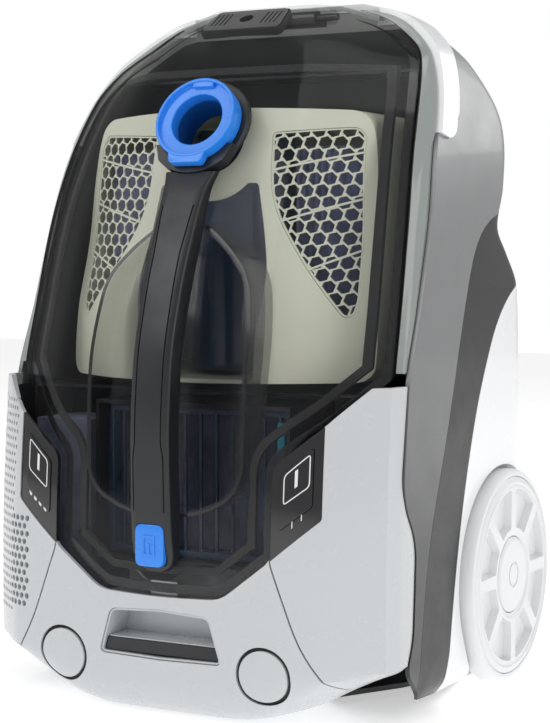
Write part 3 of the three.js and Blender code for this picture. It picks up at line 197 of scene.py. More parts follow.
def rounded(outline, reach, steps=5):
    """Closed outline with every corner eased; reach is one length or one for each corner."""
    total = len(outline)
    result = []
    for i, (px, pz) in enumerate(outline):
        radius = reach[i] if isinstance(reach, (list, tuple)) else reach
        ax, az = outline[i - 1]
        bx, bz = outline[(i + 1) % total]
        la, lb = math.hypot(ax - px, az - pz), math.hypot(bx - px, bz - pz)
        cut = min(radius, 0.49 * la, 0.49 * lb)
        if cut < 0.05:
            result.append((px, pz))
            continue
        start = (px + (ax - px) * cut / la, pz + (az - pz) * cut / la)
        end = (px + (bx - px) * cut / lb, pz + (bz - pz) * cut / lb)
        for step in range(steps + 1):
            t = step / steps
            result.append(((1 - t) ** 2 * start[0] + 2 * t * (1 - t) * px + t * t * end[0],
                           (1 - t) ** 2 * start[1] + 2 * t * (1 - t) * pz + t * t * end[1]))
    return result


def shrunk(outline, distance):
    """Outline moved inwards by a distance, each corner along its mitre."""
    total = len(outline)
    area = sum(outline[i][0] * outline[(i + 1) % total][1] - outline[(i + 1) % total][0] * outline[i][1]
               for i in range(total))
    side = 1 if area > 0 else -1
    moved = []
    for i, point in enumerate(outline):
        before, after = Vector(outline[i - 1]), Vector(outline[(i + 1) % total])
        here = Vector(point)
        a, b = (here - before).normalized(), (after - here).normalized()
        mitre = (Vector((-a.y, a.x)) + Vector((-b.y, b.x))) * side
        reach = 2 * distance / max(mitre.length_squared, 0.5)
        moved.append((point[0] + mitre.x * reach, point[1] + mitre.y * reach))
    return moved


SMOOTH = 400.0
LID_HALF = [(0, 80), (45, 82), (80, 109), (80, 167), (113, 193), (141, 221), (140, 263), (138, 315),
            (134, 359), (127, 407), (119, 429), (113, 437), (100, 448), (82, 460), (65, 466.5), (40, 480),
            (0, 480)]
LID_REACH = [SMOOTH, 8, 5, 6, 6, 7] + [SMOOTH] * 9 + [6, 0]
LID_OUTLINE = rounded(mirror_outline(LID_HALF), LID_REACH + LID_REACH[-2:0:-1])
PANEL_OUTLINE = [(80, 109), (113, 136), (113, 193), (80, 167)]
WELL_OUTLINE = rounded(mirror_outline([(0, 134), (28, 137), (48, 147), (55, 160), (56, 245), (51, 282),
                                       (34, 301), (17, 314), (0, 318)]), SMOOTH)
SEAM_LINE = [(80, 109), (101, 54), (122, 26), (140, -10)]
SHELL_FRONT_LINE = [(-82, 216), (-91, 146), (-70, 117), (-74, 54), (-84, 36), (-56, 12), (-20, -10)]
REAR_SHELL_LINE = [(200, 300), (95, 275), (62, 250), (30, 200), (5, 135), (-11, 70), (-20, 20), (-24, -10)]
FACET_LINE = [(110, 334), (34, 318), (2, 250), (-18, 190), (-50, 115), (-62, 54), (-66, 20), (-66, -10)]
BAND_LOWER_Z = 376.0
BAND_WIDTH = 27.0
BAND_STANDOUT = 2.5
KEY_OUTLINE = [(86, 128), (107, 144), (107, 180), (86, 162)]
GRIP_OUTLINE = rounded(mirror_outline([(0, 39), (46, 40), (37, 70), (0, 72)]), [0, 5, 5, 0, 5, 5])
BOX_HALF = [(0, 214), (110, 216), (116, 222), (117, 240), (113, 313), (108, 372), (104, 386), (96, 392),
            (0, 396)]
BOX_REACH = [0, 6, 6, 9, 40, 30, 8, 8, 0]
BOX_OUTLINE = rounded(mirror_outline(BOX_HALF), BOX_REACH + BOX_REACH[-2:0:-1])
GRILLE_OUTLINE = rounded([(44, 378), (97, 381), (102, 376), (106, 268), (104, 259), (98, 257), (66, 298),
                          (46, 332)], [3, 4, 4, 4, 4, 4, 30, 30])
OPENING_HALF = [(0, 217), (44, 217), (44, 244), (48, 272), (48, 288), (37, 345), (0, 345)]
OPENING_OUTLINE = rounded(mirror_outline(OPENING_HALF), [0, 3, 8, 14, 14, 3, 0, 3, 14, 14, 8, 3])
BOX_FACE_Y = track([(200, -93), (214, -93), (258, -89.5), (300, -78.5), (318, -75), (345, -72), (385, -64),
                    (402, -56)])


# ---------- workshop: closed meshes and cuts ----------
def workshop():
    """Collection that holds the solids while they are being cut."""
    found = bpy.data.collections.get("workshop")
    if found is None:
        found = bpy.data.collections.new("workshop")
        bpy.context.scene.collection.children.link(found)
    return found


def bench(mesh):
    """A working object for a mesh."""
    thing = bpy.data.objects.new("work", mesh)
    workshop().objects.link(thing)
    return thing


def clear_bench():
    """Removes every working solid."""
    for thing in list(workshop().objects):
        bpy.data.objects.remove(thing)


def closed(points, faces, scale=MM):
    """Closed body from points and faces, turned the right way out."""
    mesh = bpy.data.meshes.new("work")
    mesh.from_pydata([tuple(c * scale for c in p) for p in points], [], faces)
    shape = bmesh.new()
    shape.from_mesh(mesh)
    bmesh.ops.remove_doubles(shape, verts=shape.verts, dist=1e-7)
    if shape.calc_volume(signed=True) < 0:
        bmesh.ops.reverse_faces(shape, faces=shape.faces)
    shape.to_mesh(mesh)
    shape.free()
    return bench(mesh)


def loft(rings):
    """Closed body through rings of equally many points, capped flat."""
    across = len(rings[0])
    points = [p for ring in rings for p in ring]
    faces = []
    for i in range(len(rings) - 1):
        for j in range(across):
            a, b = i * across + j, i * across + (j + 1) % across
            faces.append((a, b, b + across, a + across))
    faces.append(tuple(reversed(range(across))))
    faces.append(tuple(range(len(points) - across, len(points))))
    return closed(points, faces)


def prism(outline, low, high, place):
    """Outline pushed from low to high; place turns (a, b, depth) into a point."""
    rings = [[place(a, b, depth) for a, b in outline] for depth in (low, high)]
    return loft(rings)


def front_prism(outline, y0, y1):
    return prism(outline, y0, y1, lambda x, z, y: (x, y, z))


def side_prism(outline, x0, x1):
    return prism(outline, x0, x1, lambda y, z, x: (x, y, z))


def plan_prism(outline, z0, z1):
    return prism(outline, z0, z1, lambda x, y, z: (x, y, z))


def block(x0, x1, y0, y1, z0, z1):
    return plan_prism([(x0, y0), (x1, y0), (x1, y1), (x0, y1)], z0, z1)


def turned(profile, centre, direction, segments=72):
    """Turned body; the profile is (radius, distance along the axis), closed on itself or on the axis."""
    axis = Vector(direction).normalized()
    across = axis.orthogonal().normalized()
    if abs(axis.x) > 0.9:
        across = Vector((0, 1, 0))
    other = axis.cross(across)
    origin = Vector(centre)
    points, rows = [], []
    for radius, along in profile:
        if radius < 1e-6:
            rows.append([len(points)] * segments)
            points.append(origin + axis * along)
            continue
        rows.append(list(range(len(points), len(points) + segments)))
        for step in range(segments):
            angle = step / segments * math.tau
            points.append(origin + axis * along
                          + (across * math.cos(angle) + other * math.sin(angle)) * radius)
    pairs = list(zip(rows, rows[1:]))
    if profile[0][0] > 1e-6:
        pairs.append((rows[-1], rows[0]))
    faces = []
    for lower, upper in pairs:
        for j in range(segments):
            k = (j + 1) % segments
            face = [lower[j], lower[k], upper[k], upper[j]]
            unique = list(dict.fromkeys(face))
            if len(unique) > 2:
                faces.append(tuple(unique))
    return closed(points, faces)


def rod(radius, start, end, centre, direction, segments=48, ease=0.0):
    """Round bar with eased rims."""
    if ease:
        profile = [(0, start), (radius - ease, start), (radius, start + ease), (radius, end - ease),
                   (radius - ease, end), (0, end)]
    else:
        profile = [(0, start), (radius, start), (radius, end), (0, end)]
    return turned(profile, centre, direction, segments)


def combined(body, tool, operation):
    """The body cut, kept or joined with the tool; both inputs stay as they are."""
    result = bench(body.data)
    change = result.modifiers.new("cut", "BOOLEAN")
    change.operation = operation
    change.solver = "MANIFOLD"
    change.object = tool
    layers = bpy.context.evaluated_depsgraph_get()
    mesh = bpy.data.meshes.new_from_object(result.evaluated_get(layers))
    bpy.data.objects.remove(result)
    return bench(mesh)


def cut(body, *tools):
    for tool in tools:
        body = combined(body, tool, "DIFFERENCE")
    return body


def keep(body, *tools):
    for tool in tools:
        body = combined(body, tool, "INTERSECT")
    return body


def join(body, *tools):
    for tool in tools:
        body = combined(body, tool, "UNION")
    return body


def mirror(body):
    """The same body on the other side."""
    mesh = body.data.copy()
    mesh.transform(Matrix.Scale(-1, 4, (1, 0, 0)))
    mesh.flip_normals()
    return bench(mesh)


def softened(body, width, angle=40, segments=2):
    """The body with its sharp edges bevelled."""
    result = bench(body.data.copy())
    bevel = result.modifiers.new("bevel", "BEVEL")
    bevel.width = width * MM
    bevel.segments = segments
    bevel.limit_method = "ANGLE"
    bevel.angle_limit = math.radians(angle)
    bevel.use_clamp_overlap = True
    layers = bpy.context.evaluated_depsgraph_get()
    mesh = bpy.data.meshes.new_from_object(result.evaluated_get(layers))
    bpy.data.objects.remove(result)
    return bench(mesh)


def piece(name, body, finish, rides="root", replaces=(), sharp=32):
    """A finished piece of the cleaner on its CAD body."""
    mesh = body.data.copy()
    mesh.name = name
    mesh.materials.clear()
    mesh.materials.append(finish)
    mesh.polygons.foreach_set("use_smooth", [True] * len(mesh.polygons))
    mesh.set_sharp_from_angle(angle=math.radians(sharp))
    if not mesh.polygons:
        raise RuntimeError(f"{name} came out empty")
    thing = bpy.data.objects.new(name, mesh)
    bpy.context.scene.collection.objects.link(thing)
    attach(thing, rides)
    if replaces:
        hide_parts(*replaces)
    return thing


# ---------- forms ----------
def levels(low, high, step):
    """Heights from low to high, closer together where the nose rounds over."""
    result = [low]
    while result[-1] < high:
        pace = step if result[-1] < 420 else step * 0.4
        result.append(min(result[-1] + pace, high))
    if high - result[-2] < 0.3:
        result.pop(-2)
    return result


def ring_of(half, z):
    """Full ring from the points on the right, front to back."""
    right = [(x, y, z) for x, y in half]
    return right + [(-x, y, z) for x, y in reversed(half) if x > 0.001]


def lift(z, inset):
    """Inset surfaces read the form a little higher, so that the wall stays even over the nose."""
    return inset * (0.3 + 0.7 * min(max((z - 400) / 40, 0), 1))


def mixed(a, b, t):
    return (a[0] + (b[0] - a[0]) * t, a[1] + (b[1] - a[1]) * t)


def bend(a, b, c, steps):
    """Points on the soft corner from a round b to c."""
    return [mixed(mixed(a, b, t / steps), mixed(b, c, t / steps), t / steps) for t in range(steps + 1)]


def lid_half(z, inset):
    """Right half of the lid's section at a height, from the centre to the edge."""
    h = z + lift(z, inset)
    crease = (CREASE_X(h) - 0.25 * inset, CREASE_Y(h) + 0.95 * inset)
    edge = (EDGE_X(h) - 0.8 * inset, EDGE_Y(h) + 0.6 * inset)
    centre = (0.0, LID_CENTRE_Y(h) + inset)
    start = mixed(centre, crease, 0.80)
    end = mixed(crease, edge, 0.22)
    front = [mixed(centre, start, t / 6) for t in range(6)]
    corner = bend(start, crease, end, 8)
    side = [mixed(end, edge, t / 5) for t in range(1, 6)]
    return front + corner + side


def lid_form(inset, step, low=70.0, back=80.0):
    top = BODY_HEIGHT - inset
    rings = []
    for z in levels(low, top, step):
        half = lid_half(z, inset)
        rings.append(ring_of(half + [(half[-1][0], back)], z))
    return loft(rings)


def hull_half(z, inset):
    h = z + lift(z, inset)
    width = HALF_WIDTH(h) - inset
    back = BACK_Y(h) - inset
    corner = max(BACK_CORNER(h) - inset, 1.0)
    front = SHOULDER_Y(h) + inset if inset > 0 else SHOULDER_Y(z)
    half = [(0.001, front), (width, front)]
    for step in range(11):
        angle = step / 10 * math.pi / 2
        half.append((width - corner + corner * math.cos(angle), back - corner + corner * math.sin(angle)))
    return half


def hull_form(inset, step):
    top = BODY_HEIGHT - inset
    rings = []
    for z in levels(0.0, top, step):
        half = hull_half(z, inset)
        if half[-1][1] - half[0][1] > 4:
            rings.append(ring_of(half, z))
    return loft(rings)


def mouth_form(inset, depth, step):
    """Block in front of the shells' front edges, as wide as the space between their walls."""
    rings = []
    for z in levels(-20.0, HINGE[1] - 8, step):
        width, front = HALF_WIDTH(z) - inset, SHOULDER_Y(z)
        rings.append(ring_of([(0.001, front - 30), (width, front - 30), (width, front + depth),
                              (0.001, front + depth)], z))
    return loft(rings)


def apron_form(inset, step):
    """The lower front: a nearly flat face, a crisp crease and a straight side."""
    rings = []
    for z in levels(0.0, 230.0, step):
        width, front = APRON_X(z) - inset, APRON_Y(z) + inset
        flat = min(108.0, APRON_X(z) * 0.75)
        span = width - flat
        start, crease = (flat * 0.7, front + 0.5), (width - 3.5, front + 31)
        middle = (flat + span * 0.25, front + 8.2)
        half = [(0.0, front), (flat * 0.35, front + 0.15)]
        half += bend(start, (flat - 2, front + 1.8), middle, 6)
        half += bend(middle, (flat + span * 0.55, front + 16), crease, 8)[1:]
        half += [mixed(crease, (width, front + 48), t / 4) for t in range(1, 5)] + [(width, -40.0)]
        rings.append(ring_of(half, z))
    return loft(rings)


def box_form(inset, step):
    """Space behind the dust box's face, which falls back towards its sides."""
    rings = []
    for z in levels(200.0, 402.0, step):
        half = []
        for place in range(19):
            x = 126.0 * place / 18
            past = max(x - 35.0, 0.0) / 70.0
            half.append((x, BOX_FACE_Y(z) + inset + BOX_CROWN * past * past))
        rings.append(ring_of(half + [(126.0, 60.0)], z))
    return loft(rings)


# ---------- repeats ----------
class Wiring:
    """Adds linked nodes to a tree."""

    def __init__(self, tree):
        self.tree = tree

    def node(self, kind, inputs=(), **settings):
        """A node with its inputs set or linked in order; None leaves an input alone."""
        made = self.tree.nodes.new(kind)
        for key, value in settings.items():
            setattr(made, key, value)
        for place, value in enumerate(inputs):
            if value is None:
                continue
            if isinstance(value, bpy.types.NodeSocket):
                self.tree.links.new(value, made.inputs[place])
            else:
                made.inputs[place].default_value = value
        return made

    def sums(self, operation, a, b=None):
        return self.node("ShaderNodeMath", (a, b), operation=operation).outputs[0]


def repeat_tree(name, inputs):
    """An empty geometry tree with named inputs; returns it, its wiring and its input sockets."""
    old = bpy.data.node_groups.get(name)
    if old is not None:
        bpy.data.node_groups.remove(old)
    tree = bpy.data.node_groups.new(name, "GeometryNodeTree")
    tree.interface.new_socket("Geometry", in_out="INPUT", socket_type="NodeSocketGeometry")
    for label, kind, default in inputs:
        socket = tree.interface.new_socket(label, in_out="INPUT", socket_type=kind)
        if default is not None:
            socket.default_value = default
    tree.interface.new_socket("Material", in_out="INPUT", socket_type="NodeSocketMaterial")
    tree.interface.new_socket("Geometry", in_out="OUTPUT", socket_type="NodeSocketGeometry")
    wiring = Wiring(tree)
    entry = wiring.node("NodeGroupInput")
    return tree, wiring, {socket.name: socket for socket in entry.outputs if socket.name}


def finish_repeat(wiring, points, entry, rotation=None):
    """Puts the incoming shape on the points, makes it real and gives it its finish."""
    placed = wiring.node("GeometryNodeInstanceOnPoints", (points, None, entry["Geometry"]))
    if rotation is not None:
        wiring.tree.links.new(rotation, placed.inputs["Rotation"])
    real = wiring.node("GeometryNodeRealizeInstances", (placed.outputs[0],))
    painted = wiring.node("GeometryNodeSetMaterial", (real.outputs[0], None, entry["Material"]))
    wiring.node("NodeGroupOutput", (painted.outputs[0],))


def rows_tree():
    """Repeats a shape in staggered rows and columns in the x-z plane."""
    tree, wiring, entry = repeat_tree("Rows And Columns", [
        ("Columns", "NodeSocketInt", 4), ("Rows", "NodeSocketInt", 4), ("Column Pitch", "NodeSocketFloat",
                                                                        0.01),
        ("Row Pitch", "NodeSocketFloat", 0.01), ("Stagger", "NodeSocketFloat", 0.0)])
    place = wiring.node("GeometryNodeInputIndex").outputs[0]
    column = wiring.sums("MODULO", place, entry["Columns"])
    row = wiring.sums("FLOOR", wiring.sums("DIVIDE", place, entry["Columns"]))
    middle = wiring.sums("DIVIDE", wiring.sums("SUBTRACT", entry["Columns"], 1.0), 2.0)
    centre = wiring.sums("DIVIDE", wiring.sums("SUBTRACT", entry["Rows"], 1.0), 2.0)
    across = wiring.sums("MULTIPLY", wiring.sums("SUBTRACT", column, middle), entry["Column Pitch"])
    odd = wiring.sums("MULTIPLY", wiring.sums("MODULO", row, 2.0), entry["Stagger"])
    height = wiring.sums("MULTIPLY", wiring.sums("SUBTRACT", row, centre), entry["Row Pitch"])
    spot = wiring.node("ShaderNodeCombineXYZ", (wiring.sums("ADD", across, odd), 0.0, height)).outputs[0]
    total = wiring.sums("MULTIPLY", entry["Columns"], entry["Rows"])
    points = wiring.node("GeometryNodePoints", (total, spot)).outputs[0]
    finish_repeat(wiring, points, entry)
    return tree


def circle_tree():
    """Repeats a shape round the y axis."""
    tree, wiring, entry = repeat_tree("Round The Axis", [
        ("Count", "NodeSocketInt", 8), ("Radius", "NodeSocketFloat", 0.0)])
    place = wiring.node("GeometryNodeInputIndex").outputs[0]
    angle = wiring.sums("MULTIPLY", wiring.sums("DIVIDE", place, entry["Count"]), math.tau)
    spot = wiring.node("ShaderNodeCombineXYZ", (
        wiring.sums("MULTIPLY", wiring.sums("COSINE", angle), entry["Radius"]), 0.0,
        wiring.sums("MULTIPLY", wiring.sums("SINE", angle), entry["Radius"]))).outputs[0]
    turn = wiring.node("ShaderNodeCombineXYZ", (0.0, wiring.sums("MULTIPLY", angle, -1.0), 0.0)).outputs[0]
    points = wiring.node("GeometryNodePoints", (entry["Count"], spot)).outputs[0]
    finish_repeat(wiring, points, entry, turn)
    return tree


def repeated(shape, tree, finish, **values):
    """The shape repeated by a tree, as one plain mesh."""
    thing = bench(shape.data.copy())
    change = thing.modifiers.new("repeat", "NODES")
    change.node_group = tree
    keys = {item.name: item.identifier for item in tree.interface.items_tree
            if item.item_type == "SOCKET" and item.in_out == "INPUT"}
    for label, value in values.items():
        change[keys[label.replace("_", " ").title()]] = value
    change[keys["Material"]] = finish
    layers = bpy.context.evaluated_depsgraph_get()
    mesh = bpy.data.meshes.new_from_object(thing.evaluated_get(layers))
    bpy.data.objects.remove(thing)
    return bench(mesh)


def moved(body, matrix):
    """A copy of the body put in place, in millimetres."""
    mesh = body.data.copy()
    put = matrix.copy()
    put.translation = put.translation * MM
    mesh.transform(put)
    return bench(mesh)


# ---------- finishes ----------
def finish(name):
    """A material by name, or a new empty one with its wiring."""
    made = bpy.data.materials.get(name)
    if made is not None:
        bpy.data.materials.remove(made)
    made = bpy.data.materials.new(name)
    made.use_nodes = True
    return made, Wiring(made.node_tree), made.node_tree.nodes["Principled BSDF"]


def plastic(name, tone, roughness, drift=0.05, grain=2200.0, depth=0.05, alpha=1.0, coat=0.0, metallic=0.0,
            stretch=(1.0, 1.0, 1.0), scuff=0.05, ior=1.5, edge=True, floor_shade=None):
    """Moulded or painted surface: slow drift of colour, fine grain, smudges in the gloss, eased edges, and
    optional painted shade darkening it towards the floor.
    """
    made, wiring, shader = finish(name)
    place = wiring.node("ShaderNodeTexCoord").outputs["Object"]
    scaled = wiring.node("ShaderNodeMapping", (place,))
    scaled.inputs["Scale"].default_value = stretch
    slow = wiring.node("ShaderNodeTexNoise", (scaled.outputs[0], None, 11.0, 3.0, 0.55)).outputs[0]
    dark = [c * (1 - drift) for c in tone] + [1.0]
    light = [min(c * (1 + drift), 1.0) for c in tone] + [1.0]
    shade = wiring.node("ShaderNodeMix", (), data_type="RGBA")
    wiring.tree.links.new(slow, shade.inputs["Factor"])
    shade.inputs["A"].default_value = dark
    shade.inputs["B"].default_value = light
    tint = shade.outputs["Result"]
    softness = bpy.context.scene.cleaner_sizes.edge_radius
    fine = wiring.node("ShaderNodeTexNoise", (scaled.outputs[0], None, grain, 2.0, 0.5)).outputs[0]
    bump = wiring.node("ShaderNodeBump")
    bump.inputs["Strength"].default_value = depth
    bump.inputs["Distance"].default_value = 0.0003
    wiring.tree.links.new(fine, bump.inputs["Height"])
    if edge:
        eased = wiring.node("ShaderNodeBevel", (softness,), samples=6)
        wiring.tree.links.new(eased.outputs[0], bump.inputs["Normal"])
    wiring.tree.links.new(bump.outputs[0], shader.inputs["Normal"])
    smudge = wiring.node("ShaderNodeTexNoise", (scaled.outputs[0], None, 42.0, 4.0, 0.6)).outputs[0]
    gloss = wiring.node("ShaderNodeMapRange",
                        (smudge, 0.35, 0.7, max(roughness - scuff, 0.02), roughness + scuff))
    wiring.tree.links.new(gloss.outputs[0], shader.inputs["Roughness"])
    # Painted shade: between the first two heights the colour darkens towards the floor, down to the third
    # value as factor.
    if floor_shade:
        height = wiring.node("ShaderNodeSeparateXYZ", (place,)).outputs["Z"]
        share = wiring.node("ShaderNodeMapRange", (height, floor_shade[0], floor_shade[1], floor_shade[2], 1.0),
                            interpolation_type="SMOOTHSTEP").outputs[0]
        darker = wiring.node("ShaderNodeVectorMath", (tint,), operation="SCALE")
        wiring.tree.links.new(share, darker.inputs["Scale"])
        tint = darker.outputs[0]
    wiring.tree.links.new(tint, shader.inputs["Base Color"])
    shader.inputs["Metallic"].default_value = metallic
    shader.inputs["Coat Weight"].default_value = coat
    shader.inputs["Coat Roughness"].default_value = 0.06
    shader.inputs["IOR"].default_value = ior
    shader.inputs["Alpha"].default_value = alpha
    return made


def filter_paper(name, tone):
    """Pleated felt: fibres along the pleats, cloudy patches and no gloss."""
    made, wiring, shader = finish(name)
    place = wiring.node("ShaderNodeTexCoord").outputs["Object"]
    drawn = wiring.node("ShaderNodeMapping", (place,))
    drawn.inputs["Scale"].default_value = (1.0, 1.0, 0.15)
    fibres = wiring.node("ShaderNodeTexNoise", (drawn.outputs[0], None, 1500.0, 4.0, 0.7)).outputs[0]
    clouds = wiring.node("ShaderNodeTexNoise", (place, None, 60.0, 3.0, 0.5)).outputs[0]
    blend = wiring.sums("MULTIPLY", fibres, clouds)
    ramp = wiring.node("ShaderNodeMapRange", (blend, 0.12, 0.42, 0.0, 1.0)).outputs[0]
    shade = wiring.node("ShaderNodeMix", (), data_type="RGBA")
    wiring.tree.links.new(ramp, shade.inputs["Factor"])
    shade.inputs["A"].default_value = [c * 0.6 for c in tone] + [1.0]
    shade.inputs["B"].default_value = [min(c * 1.4, 1.0) for c in tone] + [1.0]
    wiring.tree.links.new(shade.outputs["Result"], shader.inputs["Base Color"])
    bump = wiring.node("ShaderNodeBump")
    bump.inputs["Strength"].default_value = 0.5
    bump.inputs["Distance"].default_value = 0.0004
    wiring.tree.links.new(fibres, bump.inputs["Height"])
    wiring.tree.links.new(bump.outputs[0], shader.inputs["Normal"])
    shader.inputs["Roughness"].default_value = 0.95
    shader.inputs["Sheen Weight"].default_value = 0.2
    return made


def circuit_board(name, tone, metal):
    """Green board with paler tracks."""
    made, wiring, shader = finish(name)
    place = wiring.node("ShaderNodeTexCoord").outputs["Object"]
    lanes = wiring.node("ShaderNodeTexVoronoi", (place,), distance="CHEBYCHEV", feature="F1")
    lanes.inputs["Scale"].default_value = 160.0
    edges = wiring.node("ShaderNodeMapRange", (lanes.outputs["Distance"], 0.42, 0.5, 0.0, 1.0)).outputs[0]
    shade = wiring.node("ShaderNodeMix", (), data_type="RGBA")
    wiring.tree.links.new(edges, shade.inputs["Factor"])
    shade.inputs["A"].default_value = list(tone) + [1.0]
    shade.inputs["B"].default_value = [0.5 * (a + b) for a, b in zip(tone, metal)] + [1.0]
    wiring.tree.links.new(shade.outputs["Result"], shader.inputs["Base Color"])
    shader.inputs["Roughness"].default_value = 0.35
    return made


def make_finishes(tones):
    """Every finish of the cleaner, by name."""
    return {
        # Painted shade: the silver and the side facet darken towards the floor.
        "silver": plastic("silver_paint", tones.silver, 0.36, 0.03, 1900.0, 0.01, coat=0.2, metallic=0.35,
                          floor_shade=(0.05, 0.30, 0.12)),
        # Painted shade: a darkened copy of the silver for the side facet that faces away from the light.
        "shaded_facet": plastic("facet_painted_shade", tones.shaded_facet, 0.38, 0.05, 1900.0, 0.01, coat=0.1, metallic=0.4,
                         floor_shade=(0.0, 0.32, 0.5)),
        "white": plastic("white_gloss_plastic", tones.white, 0.24, 0.006, 900.0, 0.004, coat=0.3),
        "pale": plastic("pale_gloss_plastic", tones.pale, 0.26, 0.008, 1100.0, 0.004, coat=0.3),
        "wheel": plastic("wheel_plastic", [c * 0.92 for c in tones.white], 0.34, 0.01, 1600.0, 0.01,
                         coat=0.1),
        "tyre": plastic("tyre_plastic", [c * 0.94 for c in tones.white], 0.5, 0.04, 1500.0, 0.12),
        "dark": plastic("dark_satin_plastic", tones.dark, 0.38, 0.15, 1800.0, 0.10, scuff=0.07),
        "gloss": plastic("gloss_panel", tones.gloss, 0.10, 0.1, 800.0, 0.01, coat=0.6, scuff=0.03),
        "smoked": plastic("smoked_clear", tones.smoked, 0.07, 0.08, 500.0, 0.008, alpha=0.12, coat=0.5,
                          scuff=0.02, edge=False),
        "smoked_recess": plastic("smoked_recess", tones.smoked, 0.09, 0.08, 500.0, 0.008, alpha=0.30,
                                 coat=0.4,
                                 scuff=0.02, edge=False),
        "smoked_frame": plastic("smoked_frame", [c * 0.5 for c in tones.smoked], 0.12, 0.08, 500.0, 0.01,
                                alpha=0.72,
                                coat=0.4, scuff=0.02, edge=False),
        "clear": plastic("clear_rim", tones.clear, 0.10, 0.05, 600.0, 0.01, alpha=0.62, coat=0.6,
                         scuff=0.03, edge=False),
        "blue": plastic("blue_plastic", tones.blue, 0.26, 0.03, 1300.0, 0.03, coat=0.25),
        "cream": plastic("cream_plastic", tones.cream, 0.42, 0.03, 1400.0, 0.06),
        "media": filter_paper("filter_media", tones.media),
        "foam": filter_paper("filter_foam", [c * 0.6 for c in tones.media]),
        "chamber": plastic("chamber_clear", tones.chamber, 0.08, 0.1, 500.0, 0.01, alpha=0.62, coat=0.5,
                           scuff=0.03, edge=False),
        "teal": plastic("teal_plastic", tones.teal, 0.3, 0.08, 1200.0, 0.04, coat=0.2),
        "grey": plastic("dark_grey_plastic", (0.055, 0.055, 0.057), 0.3, 0.08, 1500.0, 0.05, coat=0.2),
        "navy": plastic("navy_plastic", [c * 0.35 for c in tones.blue], 0.35, 0.05, 1500.0, 0.05),
        "bright_teal": plastic("bright_teal_plastic", (0.02, 0.32, 0.42), 0.3, 0.05, 1200.0, 0.04),
        "rubber": plastic("rubber", tones.rubber, 0.72, 0.2, 1500.0, 0.25, scuff=0.1),
        "steel": plastic("brushed_steel", tones.steel, 0.28, 0.06, 700.0, 0.15, metallic=1.0,
                         stretch=(0.06, 1.0, 1.0), scuff=0.1),
        "print": plastic("white_print", (0.78, 0.78, 0.78), 0.4, 0.04, 1800.0, 0.04, edge=False),
        "board": circuit_board("circuit_board", tones.board, tones.steel),
    }


FINISHES = {}


# ---------- shells ----------
def side_slice(outline):
    """A side view outline carried through the whole width."""
    return side_prism(outline, -FAR, FAR)


def wheel_room(radius, inner):
    right = rod(radius, inner, FAR, (0, *WHEEL_CENTRE), (1, 0, 0), 96)
    left = rod(radius, -FAR, -inner, (0, *WHEEL_CENTRE), (1, 0, 0), 96)
    return join(right, left)


def hull_skin(step):
    """The shells' wall with the wheel wells and the open base."""
    outer = cut(hull_form(0, step), wheel_room(WHEEL_RADIUS + 3, WHEEL_INNER - 1.5))
    inner = cut(hull_form(SHELL_WALL, step),
                wheel_room(WHEEL_RADIUS + 3 + SHELL_WALL, WHEEL_INNER - 1.5 - SHELL_WALL))
    floor = keep(block(-FAR, FAR, -FAR, FAR, -20, SHELL_WALL + 1), hull_form(SHELL_WALL, step))
    return cut(outer, inner, floor)


def rear_outline():
    line = rounded(REAR_SHELL_LINE + [(200, -10)], [0, 30, 30, 40, 60, 60, 40, 0, 0], 6)
    return line


def shell_front_outline():
    line = rounded(list(reversed(SHELL_FRONT_LINE)), [0, 14, 10, 20, 14, 20, 0], 6)
    return [(-300, -20)] + line + [(-82, 225), (-300, 225)]


def band_outline(grow=0.0):
    rows = [z for z in levels(BAND_LOWER_Z, 460, 4) if z > BAND_LOWER_Z]
    start = SHOULDER_Y(BAND_LOWER_Z) + BAND_WIDTH
    rear = [(SHOULDER_Y(z) + BAND_WIDTH, z) for z in rows]
    low = [(-200, BAND_LOWER_Z + 2), (SHOULDER_Y(BAND_LOWER_Z), BAND_LOWER_Z + 1)]
    toe = bend((start - 14, BAND_LOWER_Z - 2.0), (start, BAND_LOWER_Z - 1.0), (start + 4, BAND_LOWER_Z + 12),
               5)
    outline = low + toe + [p for p in rear if p[1] > BAND_LOWER_Z + 13] + [(70, 500), (-200, 500)]
    return shrunk(outline, -grow)


